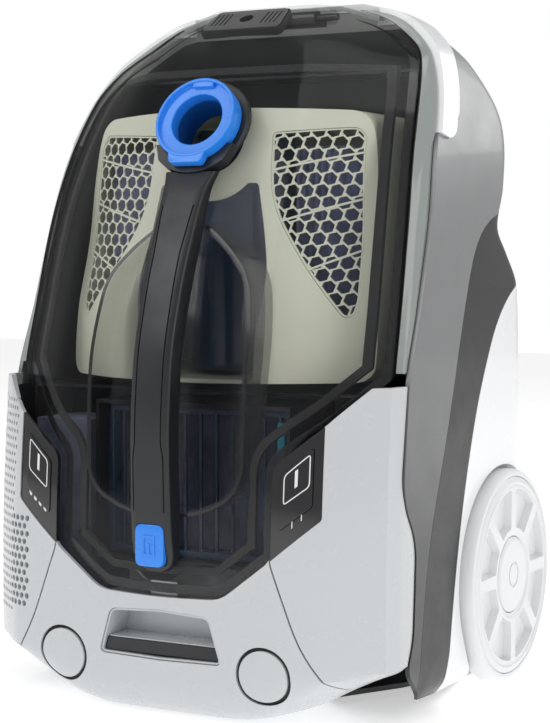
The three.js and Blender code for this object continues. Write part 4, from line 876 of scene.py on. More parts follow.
def make_shells(sizes):
    step = sizes.level_step / MM
    skin = hull_skin(step)
    front = side_slice(shell_front_outline())
    mouth = mouth_form(SHELL_WALL, SHELL_WALL + 4, step)
    hinge_room = block(-74, 74, -FAR, HINGE[0] + 7, 440, 490)
    axles = rod(5.3, -FAR, FAR, (0, *WHEEL_CENTRE), (1, 0, 0), 48)
    toe = side_slice([(-70, 14), (10, 5), (70, 0), (70, -20), (-70, -20)])
    skin = cut(skin, front, mouth, hinge_room, axles, toe)
    rear = side_slice(rear_outline())
    rear_gap = side_slice(shrunk(rear_outline(), SEAM))
    band = side_slice(band_outline())
    band_gap = side_slice(shrunk(band_outline(), SEAM))
    upper = cut(skin, rear, band)
    line = rounded(FACET_LINE, [0, 40, 30, 60, 40, 20, 10, 0], 6)
    shaded_facet = [(220, -10), (220, FACET_LINE[0][1])] + line
    facet_region = side_slice(shaded_facet)
    sides = join(block(100, FAR, -FAR, 134, -10, 353), block(-FAR, -100, -FAR, 134, -10, 353))
    facet_body = keep(upper, facet_region, sides)
    silver = cut(upper, side_slice(shrunk(shaded_facet, -0.25)))
    centre = keep(cut(upper, sides), facet_region)
    shell = join(silver, centre)
    piece("silver_shell", shell, FINISHES["silver"], replaces=("upper_shell",))
    # Painted shade: the side facets are the same shell surface, given the darkened silver.
    piece("shell_side_shaded_facets", facet_body, FINISHES["shaded_facet"])
    piece("white_rear_shell", keep(skin, rear_gap), FINISHES["white"], replaces=("rear_shell",))
    proud = cut(hull_form(-BAND_STANDOUT, step), hull_form(SHELL_WALL, step), front, mouth, hinge_room)
    piece("white_nose_band", keep(proud, band_gap), FINISHES["white"], replaces=("nose_band",))


# ---------- front panels ----------
def bar_between(a, b, half):
    """Outline of a straight bar from a to b."""
    along = (Vector(b) - Vector(a)).normalized() * half
    across = Vector((-along.y, along.x))
    corners = (Vector(a) - across, Vector(b) - across, Vector(b) + across, Vector(a) + across)
    return [tuple(corner) for corner in corners]


def both(body):
    return join(body, mirror(body))


def apron_skin(step):
    """Lower front wall without the lid, the control panels and the shells' share."""
    lid_room = front_prism(shrunk(LID_OUTLINE, -SEAM / 2), -FAR, FAR)
    line = rounded(SHELL_FRONT_LINE, [0, 20, 14, 20, 10, 14, 0], 6)
    shell_side = side_slice([(y - SEAM, z) for y, z in line] + [(300, -10), (300, 260), (-83, 260)])
    panel = front_prism(rounded(shrunk(PANEL_OUTLINE, -GAP), 2), -FAR, 0)
    top = block(-FAR, FAR, -FAR, FAR, 216, 260)
    return cut(apron_form(0, step), apron_form(SHELL_WALL, step), lid_room, shell_side, panel,
               mirror(panel), top)


def pad_rod(radius, ease=0.0):
    return rod(radius, -60, 60, (75, -134, 36), (0, 1, 0), 72, ease)


def make_front(sizes):
    step = sizes.level_step / MM
    skin = apron_skin(step)
    seam = rounded([(80, 300)] + SEAM_LINE, [0, 6, 40, 40, 0], 5)
    middle = seam[0:] + [(-x, z) for x, z in reversed(seam)]
    wide = front_prism(middle, -FAR, -30)
    narrow = front_prism(shrunk(middle, PANEL_SEAM), -FAR, -30)
    grip = front_prism(GRIP_OUTLINE, -FAR, 0)
    pads = both(pad_rod(18.9))
    piece("front_apron", cut(keep(skin, narrow), grip, pads), FINISHES["pale"], replaces=("front_apron",))
    sides = cut(skin, wide)
    right = block(0, FAR, -FAR, FAR, -20, 480)
    left = mirror(right)
    piece("side_shell_right", keep(sides, right), FINISHES["pale"], replaces=("side_shell_right",))
    holes = vent_holes(sizes)
    piece("side_shell_left", cut(keep(sides, left), holes), FINISHES["pale"],
          replaces=("side_shell_left", "exhaust_grille"))
    screen = cut(apron_form(SHELL_WALL + 0.4, step), apron_form(SHELL_WALL + 1.4, step))
    screen = cut(keep(screen, block(-FAR, -100, -FAR, -70, 40, 208)),
                 front_prism(shrunk(LID_OUTLINE, -4), -FAR, FAR), mirror(front_prism(PANEL_OUTLINE, -FAR, 0)))
    piece("exhaust_screen", screen, FINISHES["rubber"])
    liner = cut(front_prism(shrunk(GRIP_OUTLINE, GAP), -160, -110),
                front_prism(shrunk(GRIP_OUTLINE, 1.6), -FAR, -112.5))
    liner = keep(liner, apron_form(1.2, step))
    piece("grip_liner", liner, FINISHES["pale"], replaces=("grip_liner",))
    dark_slot = front_prism([(-44, 41.8), (44, 41.8), (41.2, 50), (-41.2, 50)], -134, -112.8)
    piece("grip_slot", keep(dark_slot, apron_form(3.2, step)), FINISHES["dark"])
    shade = front_prism([(-40.5, 50.2), (40.5, 50.2), (40.3, 51.0), (-40.3, 51.0)], -133, -112.8)
    piece("grip_edge", keep(shade, apron_form(3.0, step)), FINISHES["pale"])
    button = keep(pad_rod(16.6), apron_form(-0.2, step))
    button = cut(button, apron_form(SHELL_WALL + 1, step))
    groove = keep(cut(pad_rod(18.6), pad_rod(16.8)), apron_form(1.6, step))
    groove = cut(groove, apron_form(SHELL_WALL + 1, step))
    for name, body, ring in (("apron_pad_right", button, groove),
                             ("apron_pad_left", mirror(button), mirror(groove))):
        piece(name, softened(body, 0.7, 50), FINISHES["pale"], replaces=(name,))
        piece(name + "_groove", ring, FINISHES["rubber"])


def vent_holes(sizes):
    """Exhaust perforations through the left side and its front corner."""
    pitch, hole = sizes.vent_pitch / MM, sizes.vent_hole / MM
    tree = rows_tree()
    pin = rod(hole / 2, -12, 12, (0, 0, 0), (0, 1, 0), 10)
    side = repeated(pin, tree, None, columns=8, rows=32, column_pitch=pitch * MM, row_pitch=pitch * MM,
                    stagger=pitch * MM / 2)
    turn = Matrix.Translation((-149, -86, 122)) @ Matrix.Rotation(math.radians(90), 4, "Z")
    front = repeated(pin, tree, None, columns=6, rows=28, column_pitch=pitch * MM, row_pitch=pitch * MM,
                     stagger=pitch * MM / 2)
    lean = Matrix.Translation((-135, -117.5, 130)) @ Matrix.Rotation(math.radians(-40), 4, "Z")
    wide = rod(hole / 2 + 0.5, -9, 9, (0, 0, 0), (0, 1, 0), 12)
    corner = repeated(wide, tree, None, columns=4, rows=12, column_pitch=pitch * MM, row_pitch=pitch * MM,
                      stagger=pitch * MM / 2)
    turned_in = Matrix.Translation((-115.5, -129.5, 94)) @ Matrix.Rotation(math.radians(-25), 4, "Z")
    return join(join(moved(side, turn), moved(front, lean)), moved(corner, turned_in))


def make_panels(sizes):
    step = sizes.level_step / MM
    outline = rounded(PANEL_OUTLINE, 2)
    key_line = rounded(KEY_OUTLINE, 2.5)
    lid_room = front_prism(shrunk(LID_OUTLINE, -SEAM / 2), -FAR, FAR)
    base = cut(keep(front_prism(outline, -FAR, 0), apron_form(0.9, step)), apron_form(SHELL_WALL + 1, step))
    base = cut(base, lid_room, front_prism(shrunk(key_line, -GAP), -FAR, 0))
    key = cut(keep(front_prism(key_line, -FAR, 0), apron_form(0.2, step)), apron_form(SHELL_WALL + 1, step))

    def marks(shapes, depth=-0.05):
        """Raised print of the given outlines on the panel."""
        printed = None
        for shape in shapes:
            bar = front_prism(shape, -FAR, 0)
            printed = bar if printed is None else join(printed, bar)
        return cut(keep(printed, apron_form(depth, step)), apron_form(depth + 0.35, step))

    frame_line = rounded([(88.4, 143.6), (105.4, 156), (105.4, 176.6), (88.4, 162.2)], 3)
    border = cut(front_prism(frame_line, -FAR, 0), front_prism(shrunk(frame_line, 0.7), -FAR, 0))
    border = cut(keep(border, apron_form(0.1, step)), apron_form(0.5, step))
    stroke = [(95.7, 154.8), (97.6, 156.2), (97.6, 166.8), (95.7, 165.4)]
    lines = [[(x, z), (x + 0.6, z + 0.4), (x + 0.6, top + 0.4), (x, top)]
             for x, z, top in ((94.1, 130, 145.5), (100.1, 135, 150.7))]
    dots = [rounded([(x - 1.2, z - 1.6), (x + 1.2, z), (x + 1.2, z + 2.0), (x - 1.2, z + 0.4)], 0.6)
            for x, z in ((90.3, 138.7), (97.1, 143.5), (103, 147))]
    bar = marks([stroke], 0.1)
    right_marks = marks(lines + dots, 0.8)
    left_marks = marks([rounded([(89 + i * 4.4, 128 + i * 3.2), (91.4 + i * 4.4, 129.8 + i * 3.2),
                                 (91.4 + i * 4.4, 134.4 + i * 3.2), (89 + i * 4.4, 132.6 + i * 3.2)], 1.0)
                        for i in range(4)], 0.8)
    power = join(border, bar)
    rewind = mirror(power)
    piece("control_panel_right", base, FINISHES["gloss"], replaces=("control_panel_right",))
    piece("control_panel_left", mirror(base), FINISHES["gloss"], replaces=("control_panel_left",))
    piece("power_key", key, FINISHES["gloss"], "power_key", ("power_button",))
    piece("rewind_key", mirror(key), FINISHES["gloss"], "rewind_key", ("rewind_button",))
    piece("power_key_print", power, FINISHES["print"], "power_key")
    piece("rewind_key_print", rewind, FINISHES["print"], "rewind_key")
    piece("panel_print_right", right_marks, FINISHES["print"])
    piece("panel_print_left", mirror(left_marks), FINISHES["print"])


# ---------- lid ----------
def lid_limit():
    rows = [(EDGE_Y(z) + LID_FLANGE, z) for z in levels(70, 440, 6)]
    back = HINGE[0] - HINGE_EYE - 1
    return side_slice([(-300, 0), (-60, 0)] + rows + [(back, 452), (back, 500), (-300, 500)])


def along_inlet(radius, start, end, ease=0.0, segments=72):
    return rod(radius, start, end, RING_CENTRE, INWARD, segments, ease)


def hinge_lug(side):
    x0 = 31 if side > 0 else -41
    eye = rod(HINGE_EYE, x0, x0 + 10, (0, *HINGE), (1, 0, 0), 32)
    return join(eye, block(x0, x0 + 10, HINGE[0] - 12, HINGE[0] - 1, HINGE[1] - 3, HINGE[1] + 7))


def make_lid(sizes):
    step = sizes.level_step / MM
    outer, inner = lid_form(0, step), lid_form(LID_WALL, step)
    outline = front_prism(shrunk(LID_OUTLINE, SEAM / 2), -FAR, FAR)
    limit = lid_limit()
    skin = keep(cut(outer, inner), outline, limit)
    tub = cut(keep(front_prism(shrunk(WELL_OUTLINE, -LID_WALL), -FAR, 0), outer),
              lid_form(WELL_DEPTH + LID_WALL, step))
    hollow = cut(front_prism(WELL_OUTLINE, -FAR, 0), lid_form(WELL_DEPTH, step))
    tub = cut(tub, hollow, along_inlet(NECK_RADIUS - 1, -40, 60))
    rim_line = cut(front_prism(shrunk(WELL_OUTLINE, -LID_WALL - 0.2), -FAR, 0),
                   front_prism(shrunk(WELL_OUTLINE, -1.6),
                                                                                    -FAR, 0))
    rim_line = cut(keep(rim_line, lid_form(-0.05, step)), lid_form(0.8, step),
                   along_inlet(NECK_RADIUS - 1, -40, 60))
    well_hole = front_prism(shrunk(WELL_OUTLINE, -LID_WALL - 0.3), -FAR, 0)
    cover = cut(skin, well_hole, along_inlet(BORE_RADIUS + 4, -40, 60))
    pin = rod(2.9, -60, 60, (0, *HINGE), (1, 0, 0), 32)
    lugs = cut(keep(join(hinge_lug(1), hinge_lug(-1)), lid_form(0.5, step)), pin)
    cover = join(cover, lugs)
    piece("smoked_lid", cover, FINISHES["smoked"], "lid", ("lid_cover",))
    piece("finger_recess", tub, FINISHES["smoked_recess"], "lid")
    piece("recess_line", rim_line, FINISHES["smoked_frame"], "lid")
    border = cut(keep(cut(lid_form(LID_WALL + 0.6, step), lid_form(LID_WALL + 1.4, step)),
                      front_prism(shrunk(LID_OUTLINE, 1.5), -FAR, FAR), limit),
                 front_prism(shrunk(LID_OUTLINE, 7.5), -FAR, FAR))
    piece("lid_inner_border", border, FINISHES["smoked_frame"], "lid")
    nose = cut(keep(block(-78, 78, 24.2, 34.2, 440, 471), lid_form(0, step)), lid_form(2.2, step))
    piece("lid_nose_edge", nose, FINISHES["clear"], "lid")
    rings, line, shade = [], [], []
    for z in levels(224, 467, step):
        edge = (EDGE_X(z) + SEAM / 2, EDGE_Y(z))
        gap = 2.6 - 2.1 * min(max((z - 370) / 8, 0), 1)
        shoulder = (HALF_WIDTH(z) - gap, SHOULDER_Y(z) - 2 * SEAM - 0.5 * (gap - 0.5))
        behind = HALF_WIDTH(z) - SHELL_WALL - GAP
        # Painted shadow: a thin dark strip in the rubber finish fills the gap between rim and shell, where
        # shade falls.
        shade.append([(x, y, z) for x, y in ((HALF_WIDTH(z) - gap - 0.6, SHOULDER_Y(z) + 0.6),
                                             (HALF_WIDTH(z) - 0.4, SHOULDER_Y(z) + 0.6),
                                             (HALF_WIDTH(z) - 0.4, SHOULDER_Y(z) + 1.8),
                                             (HALF_WIDTH(z) - gap - 0.6, SHOULDER_Y(z) + 1.8))])
        near, far = mixed(edge, shoulder, 0.06), mixed(edge, shoulder, 0.94)
        face = [mixed(edge, shoulder, 0.10 + 0.80 * t / 6) for t in range(7)]
        rise = [(x + 0.9 * math.sin(math.pi * t / 6) + 0.0, y - 0.6 * math.sin(math.pi * t / 6))
                for t, (x, y) in enumerate(face)]
        behind = min(behind, shoulder[0] - 0.4)
        inner_line = (behind, shoulder[1] + 2)
        rings.append([(x, y, z) for x, y in [near] + rise + [far, (behind, shoulder[1]), inner_line,
                                                            (edge[0] + 0.8, edge[1] + SHELL_WALL + 1)]])
        line.append([(x, y, z) for x, y in (edge, mixed(edge, shoulder, 0.055),
                                            (edge[0] + 0.7, edge[1] + SHELL_WALL + 1),
                                            (edge[0], edge[1] + SHELL_WALL + 1))])
    rim = loft(rings)
    gasket, gap_shadow_strip = loft(line), loft(shade)
    for name, body, seal, strip in (("right", rim, gasket, gap_shadow_strip),
                                    ("left", mirror(rim), mirror(gasket), mirror(gap_shadow_strip))):
        piece(f"lid_rim_{name}", body, FINISHES["clear"], "lid", (f"lid_rim_{name}",))
        piece(f"rim_gasket_{name}", seal, FINISHES["rubber"], "lid")
        # Painted shadow: the rubber finish on this strip stands for the shade in the gap.
        piece(f"rim_shadow_strip_{name}", strip, FINISHES["rubber"], "lid")


def ring_plane(points):
    """Points (across, up, inwards) of the inlet ring in the body's frame."""
    turn = Matrix.Translation(RING_CENTRE) @ Matrix.Rotation(-RING_TILT, 4, "X")
    return [tuple(turn @ Vector((x, depth, up))) for x, up, depth in points]


def ring_prism(outline, start, end):
    rings = [ring_plane([(x, z, depth) for x, z in outline]) for depth in (start, end)]
    return loft(rings)


def make_inlet(sizes):
    step = sizes.level_step / MM
    skin = lid_form(-GAP, step)
    neck = turned([(0, RING_DEPTH + GAP), (NECK_RADIUS - 1.5, RING_DEPTH + GAP),
                   (NECK_RADIUS, RING_DEPTH + GAP + 1.5), (NECK_RADIUS, 70), (0,
                                                                              70)], RING_CENTRE, INWARD, 96)
    neck = cut(neck, skin, along_inlet(BORE_RADIUS + 2 + GAP, -10, 80))
    web = ring_prism([(-16, -40), (16, -40), (24, -29), (29, -16), (-29, -16), (-24, -29)], 7.5,
                     RING_DEPTH + 4)
    web = cut(keep(web, along_inlet(RING_RADIUS + 7.8, -10, 60)), skin,
              along_inlet(RING_RADIUS + 0.5, -10, RING_DEPTH + GAP), along_inlet(BORE_RADIUS + 2 + GAP, -10,
                                                                                 80))
    neck = join(neck, web)
    piece("inlet_neck", neck, FINISHES["dark"], "lid", ("inlet_neck",))
    duct = turned([(BORE_RADIUS, RING_DEPTH + GAP), (BORE_RADIUS + 2, RING_DEPTH + GAP),
                   (BORE_RADIUS + 2, 32),
                   (BORE_RADIUS, 32)], RING_CENTRE, INWARD, 96)
    piece("inlet_duct", duct, FINISHES["navy"], "lid", ("inlet_duct",))
    lip = RING_RADIUS - RING_LIP
    profile = rounded([(BORE_RADIUS, RING_DEPTH), (BORE_RADIUS, 3.5), (lip, 3.5), (lip, 0),
                       (RING_RADIUS, 0), (RING_RADIUS, RING_DEPTH)], [0, 0.8, 0.6, 0.7, 0.9, 1.0], 4)
    ring = turned(profile, RING_CENTRE, INWARD, 120)
    lug = ring_prism(rounded([(-12, -RING_RADIUS - 4), (12, -RING_RADIUS - 4), (14, -RING_RADIUS + 5),
                              (-14, -RING_RADIUS + 5)], [3, 3, 0, 0]), 0.5, 6.5)
    lug = cut(lug, along_inlet(lip + 0.4, -10, 30))
    tab = ring_prism(rounded([(-8, lip - 4), (8, lip - 4), (8, lip + 0.5), (-8, lip + 0.5)],
                             [1.5, 1.5, 0, 0]), 1.0, 7)
    ring = join(ring, softened(lug, 0.6), softened(tab, 0.5))
    piece("blue_inlet_ring", ring, FINISHES["blue"], "lock_ring", ("inlet_ring",))


HANDLE_Y = track([(97, -141), (114, -147), (135, -149), (180, -150), (225, -147), (275, -135), (318, -118),
                  (338, -108), (352, -99)])
HANDLE_HALF = track([(97, 6.0), (99, 10.0), (103, 13.0), (110, 15.0), (160, 14.6), (230, 14.4), (300, 15.2),
                     (338, 15.8), (352, 19.0)])
HANDLE_DEPTH = track([(97, 60), (128, 60), (142, 19), (160, 17), (300, 18), (322, 26), (340, 60), (352, 70)])


def handle_section(z, shrink=0.0):
    """Rounded section of the carry handle at a height."""
    half = HANDLE_HALF(z) - shrink
    front, depth = HANDLE_Y(z) + shrink, HANDLE_DEPTH(z) - 2 * shrink
    corner = 5.0
    outline = rounded([(-half, front + depth), (-half, front + 1.6), (-half * 0.72, front),
                       (half * 0.72, front),
                       (half, front + 1.6), (half, front + depth)], [corner, 3.2, 3.2, 3.2, 3.2, corner], 5)
    return [(x, y, z) for x, y in outline]


def make_handle(sizes):
    step = sizes.level_step / MM
    skin = lid_form(-GAP, step)
    bar = loft([handle_section(z) for z in levels(97, 352, 2.5)])
    room = front_prism(rounded([(-10.8, 100.7), (10.8, 100.7), (10.8, 128.3), (-10.8, 128.3)], 5.3), -FAR,
                       -140.7)
    neck = along_inlet(NECK_RADIUS + GAP, -20, 90)
    ring_room = along_inlet(RING_RADIUS + 8, -20, RING_DEPTH + 1)
    bar = cut(bar, skin, room, neck, ring_room)
    groove = None
    for side in (-1, 1):
        for start, end in (((side * 11.2, 136), (side * 11.2, 170)), ((side * 11.2, 170), (side * 9.6, 180)),
                           ((side * 9.6, 180), (side * 9.6, 300)), ((side * 9.6, 300), (side * 11.6, 330))):
            line = front_prism(bar_between(start, end, 0.45), -FAR, -95)
            groove = line if groove is None else join(groove, line)
    deep = cut(groove, loft([handle_section(z, 0.9) for z in levels(97, 352, 2.5)]))
    bar = cut(bar, deep)
    piece("carry_handle", bar, FINISHES["dark"], "lid", ("carry_handle", "handle_inlay"), 38)
    key_line = rounded([(-10.5, 101), (10.5, 101), (10.5, 128), (-10.5, 128)], 5.0)
    body = softened(front_prism(key_line, -149.0, -144.0), 1.0, 50, 3)
    mark = cut(front_prism(rounded([(-4.6, 108), (4.6, 108), (4.6, 121), (-4.6, 121)], 1.0), -149.6, -148.6),
               front_prism(rounded([(-3.2, 109.4), (3.2, 109.4), (3.2, 119.6), (-3.2, 119.6)], 0.6), -150,
                           -148))
    bar_mark = front_prism(rounded([(-0.7, 108.5), (0.7, 108.5), (0.7, 116), (-0.7, 116)], 0.3), -149.6,
                           -148.6)
    piece("release_button", join(body, join(mark, bar_mark)), FINISHES["blue"], "release_button",
          ("lid_release_button",))


def make_nose_plate(sizes):
    step = sizes.level_step / MM
    slope = math.atan2(10, 15)
    turn = Matrix.Translation((0, -20, 456)) @ Matrix.Rotation(slope, 4, "X")

    def slab(outline, low, high):
        rings = [[tuple(turn @ Vector((x, y, depth))) for x, y in outline] for depth in (low, high)]
        return loft(rings)

    line = rounded([(-30, -13), (30, -13), (27, 13), (-27, 13)], 4)
    plate = softened(slab(line, -4, 4), 0.8, 50, 3)
    hole = slab([(5 * math.cos(a / 24 * math.tau), 5 * math.sin(a / 24 * math.tau)) for a in range(24)], -12,
                12)
    plate = cut(plate, lid_form(-GAP, step), hole)
    for index in range(4):
        x = -25.0 + index * 3.4
        rib = slab([(x, -8), (x + 1.2, -8), (x + 1.2, 8), (x, 8)], 3.2, 9)
        plate = cut(plate, rib, mirror(rib))
    piece("nose_plate", plate, FINISHES["grey"], "lid", ("nose_plate",))
    # Painted shadow: a dark ring in the rubber finish fills the gap round the plate, where shade falls.
    frame_line = cut(slab(rounded([(-31.6, -14.6), (31.6, -14.6), (28.6, 14.6), (-28.6, 14.6)], 5), -6, 2.6),
                     slab(rounded([(-30.4, -13.4), (30.4, -13.4), (27.4, 13.4), (-27.4, 13.4)], 4.2), -8, 9))
    frame_line = cut(frame_line, lid_form(-GAP, step))
    piece("nose_plate_gap_shadow", frame_line, FINISHES["rubber"], "lid")


# ---------- compartments behind the lid ----------
BOX_WALL = 2.5
CHAMBER_RADIUS = 37.0
CHAMBER_Y = -24.0


def well_keep_out(step):
    """Space of the closed lid's finger recess."""
    outline = front_prism(shrunk(WELL_OUTLINE, -LID_WALL - 1), -FAR, FAR)
    return keep(cut(outline, lid_form(WELL_DEPTH + LID_WALL + 1, step)), lid_form(-10, step))


def make_dust_box(sizes):
    step = sizes.level_step / MM
    face, back = box_form(0, step), box_form(BOX_WALL, step)
    outer = keep(front_prism(BOX_OUTLINE, -FAR, 48), face)
    inner = keep(front_prism(shrunk(BOX_OUTLINE, BOX_WALL), -FAR, 48 - BOX_WALL), back)
    window = front_prism(GRILLE_OUTLINE, -FAR, 0)
    opening = cut(front_prism(OPENING_OUTLINE, -FAR, -50), along_inlet(COLLAR_RADIUS, -60, 60))
    box = cut(outer, inner, opening, window, mirror(window), along_inlet(BORE_RADIUS + 5, -40, 60),
              along_inlet(NECK_RADIUS + 2, -20, 26), well_keep_out(step))
    piece("dust_box", box, FINISHES["cream"], replaces=("dust_box",), sharp=40)
    tree = rows_tree()
    pitch = sizes.cell_pitch / MM
    radius = (pitch - sizes.cell_wall / MM) / math.sqrt(3)
    cell = turned([(0, -60), (radius, -60), (radius, 60), (0, 60)], (0, 0, 0), (0, 1, 0), 6)
    cell = moved(cell, Matrix.Rotation(math.radians(30), 4, "Y"))
    cells = repeated(cell, tree, FINISHES["cream"], columns=10, rows=20, column_pitch=pitch * MM,
                     row_pitch=pitch * MM * math.sqrt(3) / 2, stagger=pitch * MM / 2)
    cells = moved(cells, Matrix.Translation((74, -60, 320)))
    inside = front_prism(shrunk(GRILLE_OUTLINE, 1.4), -FAR, 0)
    plate = cut(keep(front_prism(shrunk(GRILLE_OUTLINE, GAP), -FAR, 0), box_form(0.5, step)),
                box_form(1.7, step))
    grille = cut(plate, keep(cells, inside))
    ribs = None
    for start, end in (((40, 352), (110, 366)), ((40, 316), (110, 336)), ((40, 274), (112, 304))):
        bar = front_prism(bar_between(start, end, 0.7), -FAR, 0)
        ribs = bar if ribs is None else join(ribs, bar)
    ribs = cut(keep(ribs, front_prism(shrunk(GRILLE_OUTLINE, GAP), -FAR, 0), box_form(0.0, step)),
               box_form(1.2, step))
    grille = join(grille, ribs)
    for name, body in (("right", grille), ("left", mirror(grille))):
        piece(f"honeycomb_{name}", body, FINISHES["cream"], replaces=(f"grille_{name}",),
              sharp=40)


def make_filters(sizes):
    tree = rows_tree()
    pitch = sizes.pleat_pitch / MM
    fold = [(-pitch / 2, 0), (0, -10), (pitch / 2, 0), (pitch / 2, 1.2), (0, -8.4), (-pitch / 2, 1.2)]
    pleat = loft([[(x, y, z) for x, y in fold] for z in (0, 36, 72, 108, 144)])
    spread = int((102 - CHAMBER_RADIUS - 6) / pitch)
    row = repeated(pleat, tree, FINISHES["media"], columns=spread, rows=1, column_pitch=pitch * MM,
                   row_pitch=0.0, stagger=0.0)
    middle = (102 + CHAMBER_RADIUS + 6) / 2
    right = moved(row, Matrix.Translation((middle, -28, 226)))
    piece("pleated_filter_right", right, FINISHES["media"], replaces=("pleated_filter_right",),
          sharp=20)
    piece("pleated_filter_left", mirror(right), FINISHES["media"], replaces=("pleated_filter_left",),
          sharp=20)


def make_chamber(sizes):
    step = sizes.level_step / MM
    outer = rounded([(0, 220), (CHAMBER_RADIUS, 220), (CHAMBER_RADIUS, 382), (0, 382)], [0, 4, 4, 0], 4)
    inner = rounded([(0, 222.5), (CHAMBER_RADIUS - 2.5, 222.5), (CHAMBER_RADIUS - 2.5, 379.5), (0, 379.5)],
                    [0, 3, 3, 0], 4)
    centre = (0, CHAMBER_Y, 0)
    port = along_inlet(BORE_RADIUS + 1, -20, 90)
    duct_room = along_inlet(BORE_RADIUS + 4, -20, 34)
    body = cut(turned(outer, centre, (0, 0, 1), 96), turned(inner, centre, (0, 0, 1), 96), port, duct_room,
               well_keep_out(step))
    piece("dust_chamber", body, FINISHES["chamber"], replaces=("dust_chamber",))


def make_filter_bay(sizes):
    step = sizes.level_step / MM
    tree = rows_tree()
    keep_out = well_keep_out(step)
    frame_box = block(-71.2, 71.2, -88, -64, 96.8, 198.2)
    frame_box = cut(frame_box, block(-66, 66, -90, -70, 102, 193))
    frame_box = cut(softened(frame_box, 1.2, 50, 2), keep_out)
    piece("motor_filter_frame", frame_box, FINISHES["teal"], replaces=("motor_filter",))
    rib = block(-1.0, 1.0, -1, 1, -45.4, 45.4)
    ribs = repeated(rib, tree, FINISHES["teal"], columns=11, rows=1, column_pitch=0.012, row_pitch=0.0,
                    stagger=0.0)
    ribs = moved(ribs, Matrix.Translation((0, -84, 147.5)))
    piece("motor_filter_ribs", cut(ribs, keep_out), FINISHES["teal"])
    strip = softened(block(60, 65.5, -89.5, -86, 104, 190), 0.8, 50, 2)
    piece("motor_filter_pull", cut(strip, keep_out), FINISHES["bright_teal"])
    fold = [(-3, 0), (0, -8), (3, 0), (3, 1.2), (0, -6.6), (-3, 1.2)]
    pleat = loft([[(x, y, z) for x, y in fold] for z in (-45, 45)])
    pleats = repeated(pleat, tree, FINISHES["foam"], columns=22, rows=1, column_pitch=0.006, row_pitch=0.0,
                      stagger=0.0)
    pleats = moved(pleats, Matrix.Translation((0, -72.2, 147.5)))
    piece("motor_filter_pleats", cut(pleats, keep_out), FINISHES["foam"], sharp=20)


# ---------- wheels, caster and fixings ----------
def make_wheels(sizes):
    tree = circle_tree()
    rim = WHEEL_RADIUS - 5
    centre = (0, *WHEEL_CENTRE)
    face, inner = WHEEL_FACE, WHEEL_INNER
    axis = (1, 0, 0)
    tyre = turned(rounded([(rim, inner + 2), (WHEEL_RADIUS - 1, inner + 2), (WHEEL_RADIUS, inner + 4),
                           (WHEEL_RADIUS, face - 4), (WHEEL_RADIUS - 2, face - 1), (rim, face - 1)],
                          [0, 0.8, 1.5, 3, 1.2, 0.4], 4), centre, axis, 144)
    profile = rounded([(5.4, inner), (rim - GAP, inner), (rim - GAP, face - 1.2), (rim - 4.4, face),
                       (64.5, face), (63.5, face - 1.0), (62.6, face - 1.0), (61.8, face - 0.2), (30.5,
                                                                                                  face - 0.2),
                       (29.0, face - 1.4), (27.0, face - 1.4), (27.0, face - 6), (5.4, face - 6)],
                      [0, 1, 1, 1.2, 0.5, 0.4, 0.4, 0.5, 0.8, 0.5, 0.4, 0.4, 0], 3)
    disc = turned(profile, centre, axis, 144)
    step = math.tau / sizes.spokes
    gap = 0.07
    arc = [(math.cos(a) * 60.0, math.sin(a) * 60.0)
           for a in [gap + (step - 2 * gap) * i / 8 for i in range(9)]]
    low = [(math.cos(a) * 33.0, math.sin(a) * 33.0)
           for a in [gap + 0.07 + (step - 2 * gap - 0.14) * i / 4 for i in range(5)]]
    outline = arc + low[::-1]
    window = rounded(outline, [3.5] + [0] * 7 + [3.5] + [3.5] + [0] * 3 + [3.5], 4)
    top = [(x, 6.0, z) for x, z in shrunk(window, -0.8)]
    mid = [(x, -0.8, z) for x, z in window]
    low_ring = [(x, -5.6, z) for x, z in shrunk(window, 1.2)]
    pocket = loft([low_ring, mid, top])
    pockets = repeated(pocket, tree, FINISHES["wheel"], count=sizes.spokes, radius=0.0)
    pockets = moved(pockets,
                    Matrix.Translation((face, *WHEEL_CENTRE)) @ Matrix.Rotation(math.radians(-90), 4, "Z"))
    disc = cut(disc, pockets)
    cap = turned(rounded([(0, face - 5.7), (26.5, face - 5.7), (26.5, face - 1.4), (24.5, face - 0.2),
                          (16, face),
                          (0, face)], [0, 0, 0.8, 1.5, 3, 0], 4), centre, axis, 96)
    badge = cut(rod(9, face - 0.6, face + 0.2, centre, axis, 48),
                rod(7.6, face - 1, face + 1, centre, axis, 48))
    cap = cut(cap, badge)
    for side, flip in (("right", False), ("left", True)):
        prefix = f"wheel_{side}"
        for part, body, tone, sharp in (("tyre", tyre, "tyre", 30), ("disc", disc, "wheel", 35),
                                        ("cap", cap, "wheel", 30)):
            shape = mirror(body) if flip else body
            piece(f"{prefix}_{part}", shape, FINISHES[tone], prefix, (f"{prefix}_{part}",), sharp)


def make_caster(sizes):
    axle_y = 150.0 - 10.5
    roller = turned(rounded([(2.9, -8), (9.5, -8), (10.5, -7), (10.5, 7), (9.5, 8), (2.9, 8)],
                            [0.3, 0.8, 1.2, 1.2, 0.8, 0.3], 4), (0, axle_y, 390), (1, 0, 0), 72)
    groove = turned([(10.1, -0.6), (12, -0.6), (12, 0.6), (10.1, 0.6)], (0, axle_y, 390), (1, 0, 0), 72)
    piece("caster_roller", cut(roller, groove), FINISHES["rubber"], "caster_wheel", ("caster_roller",))


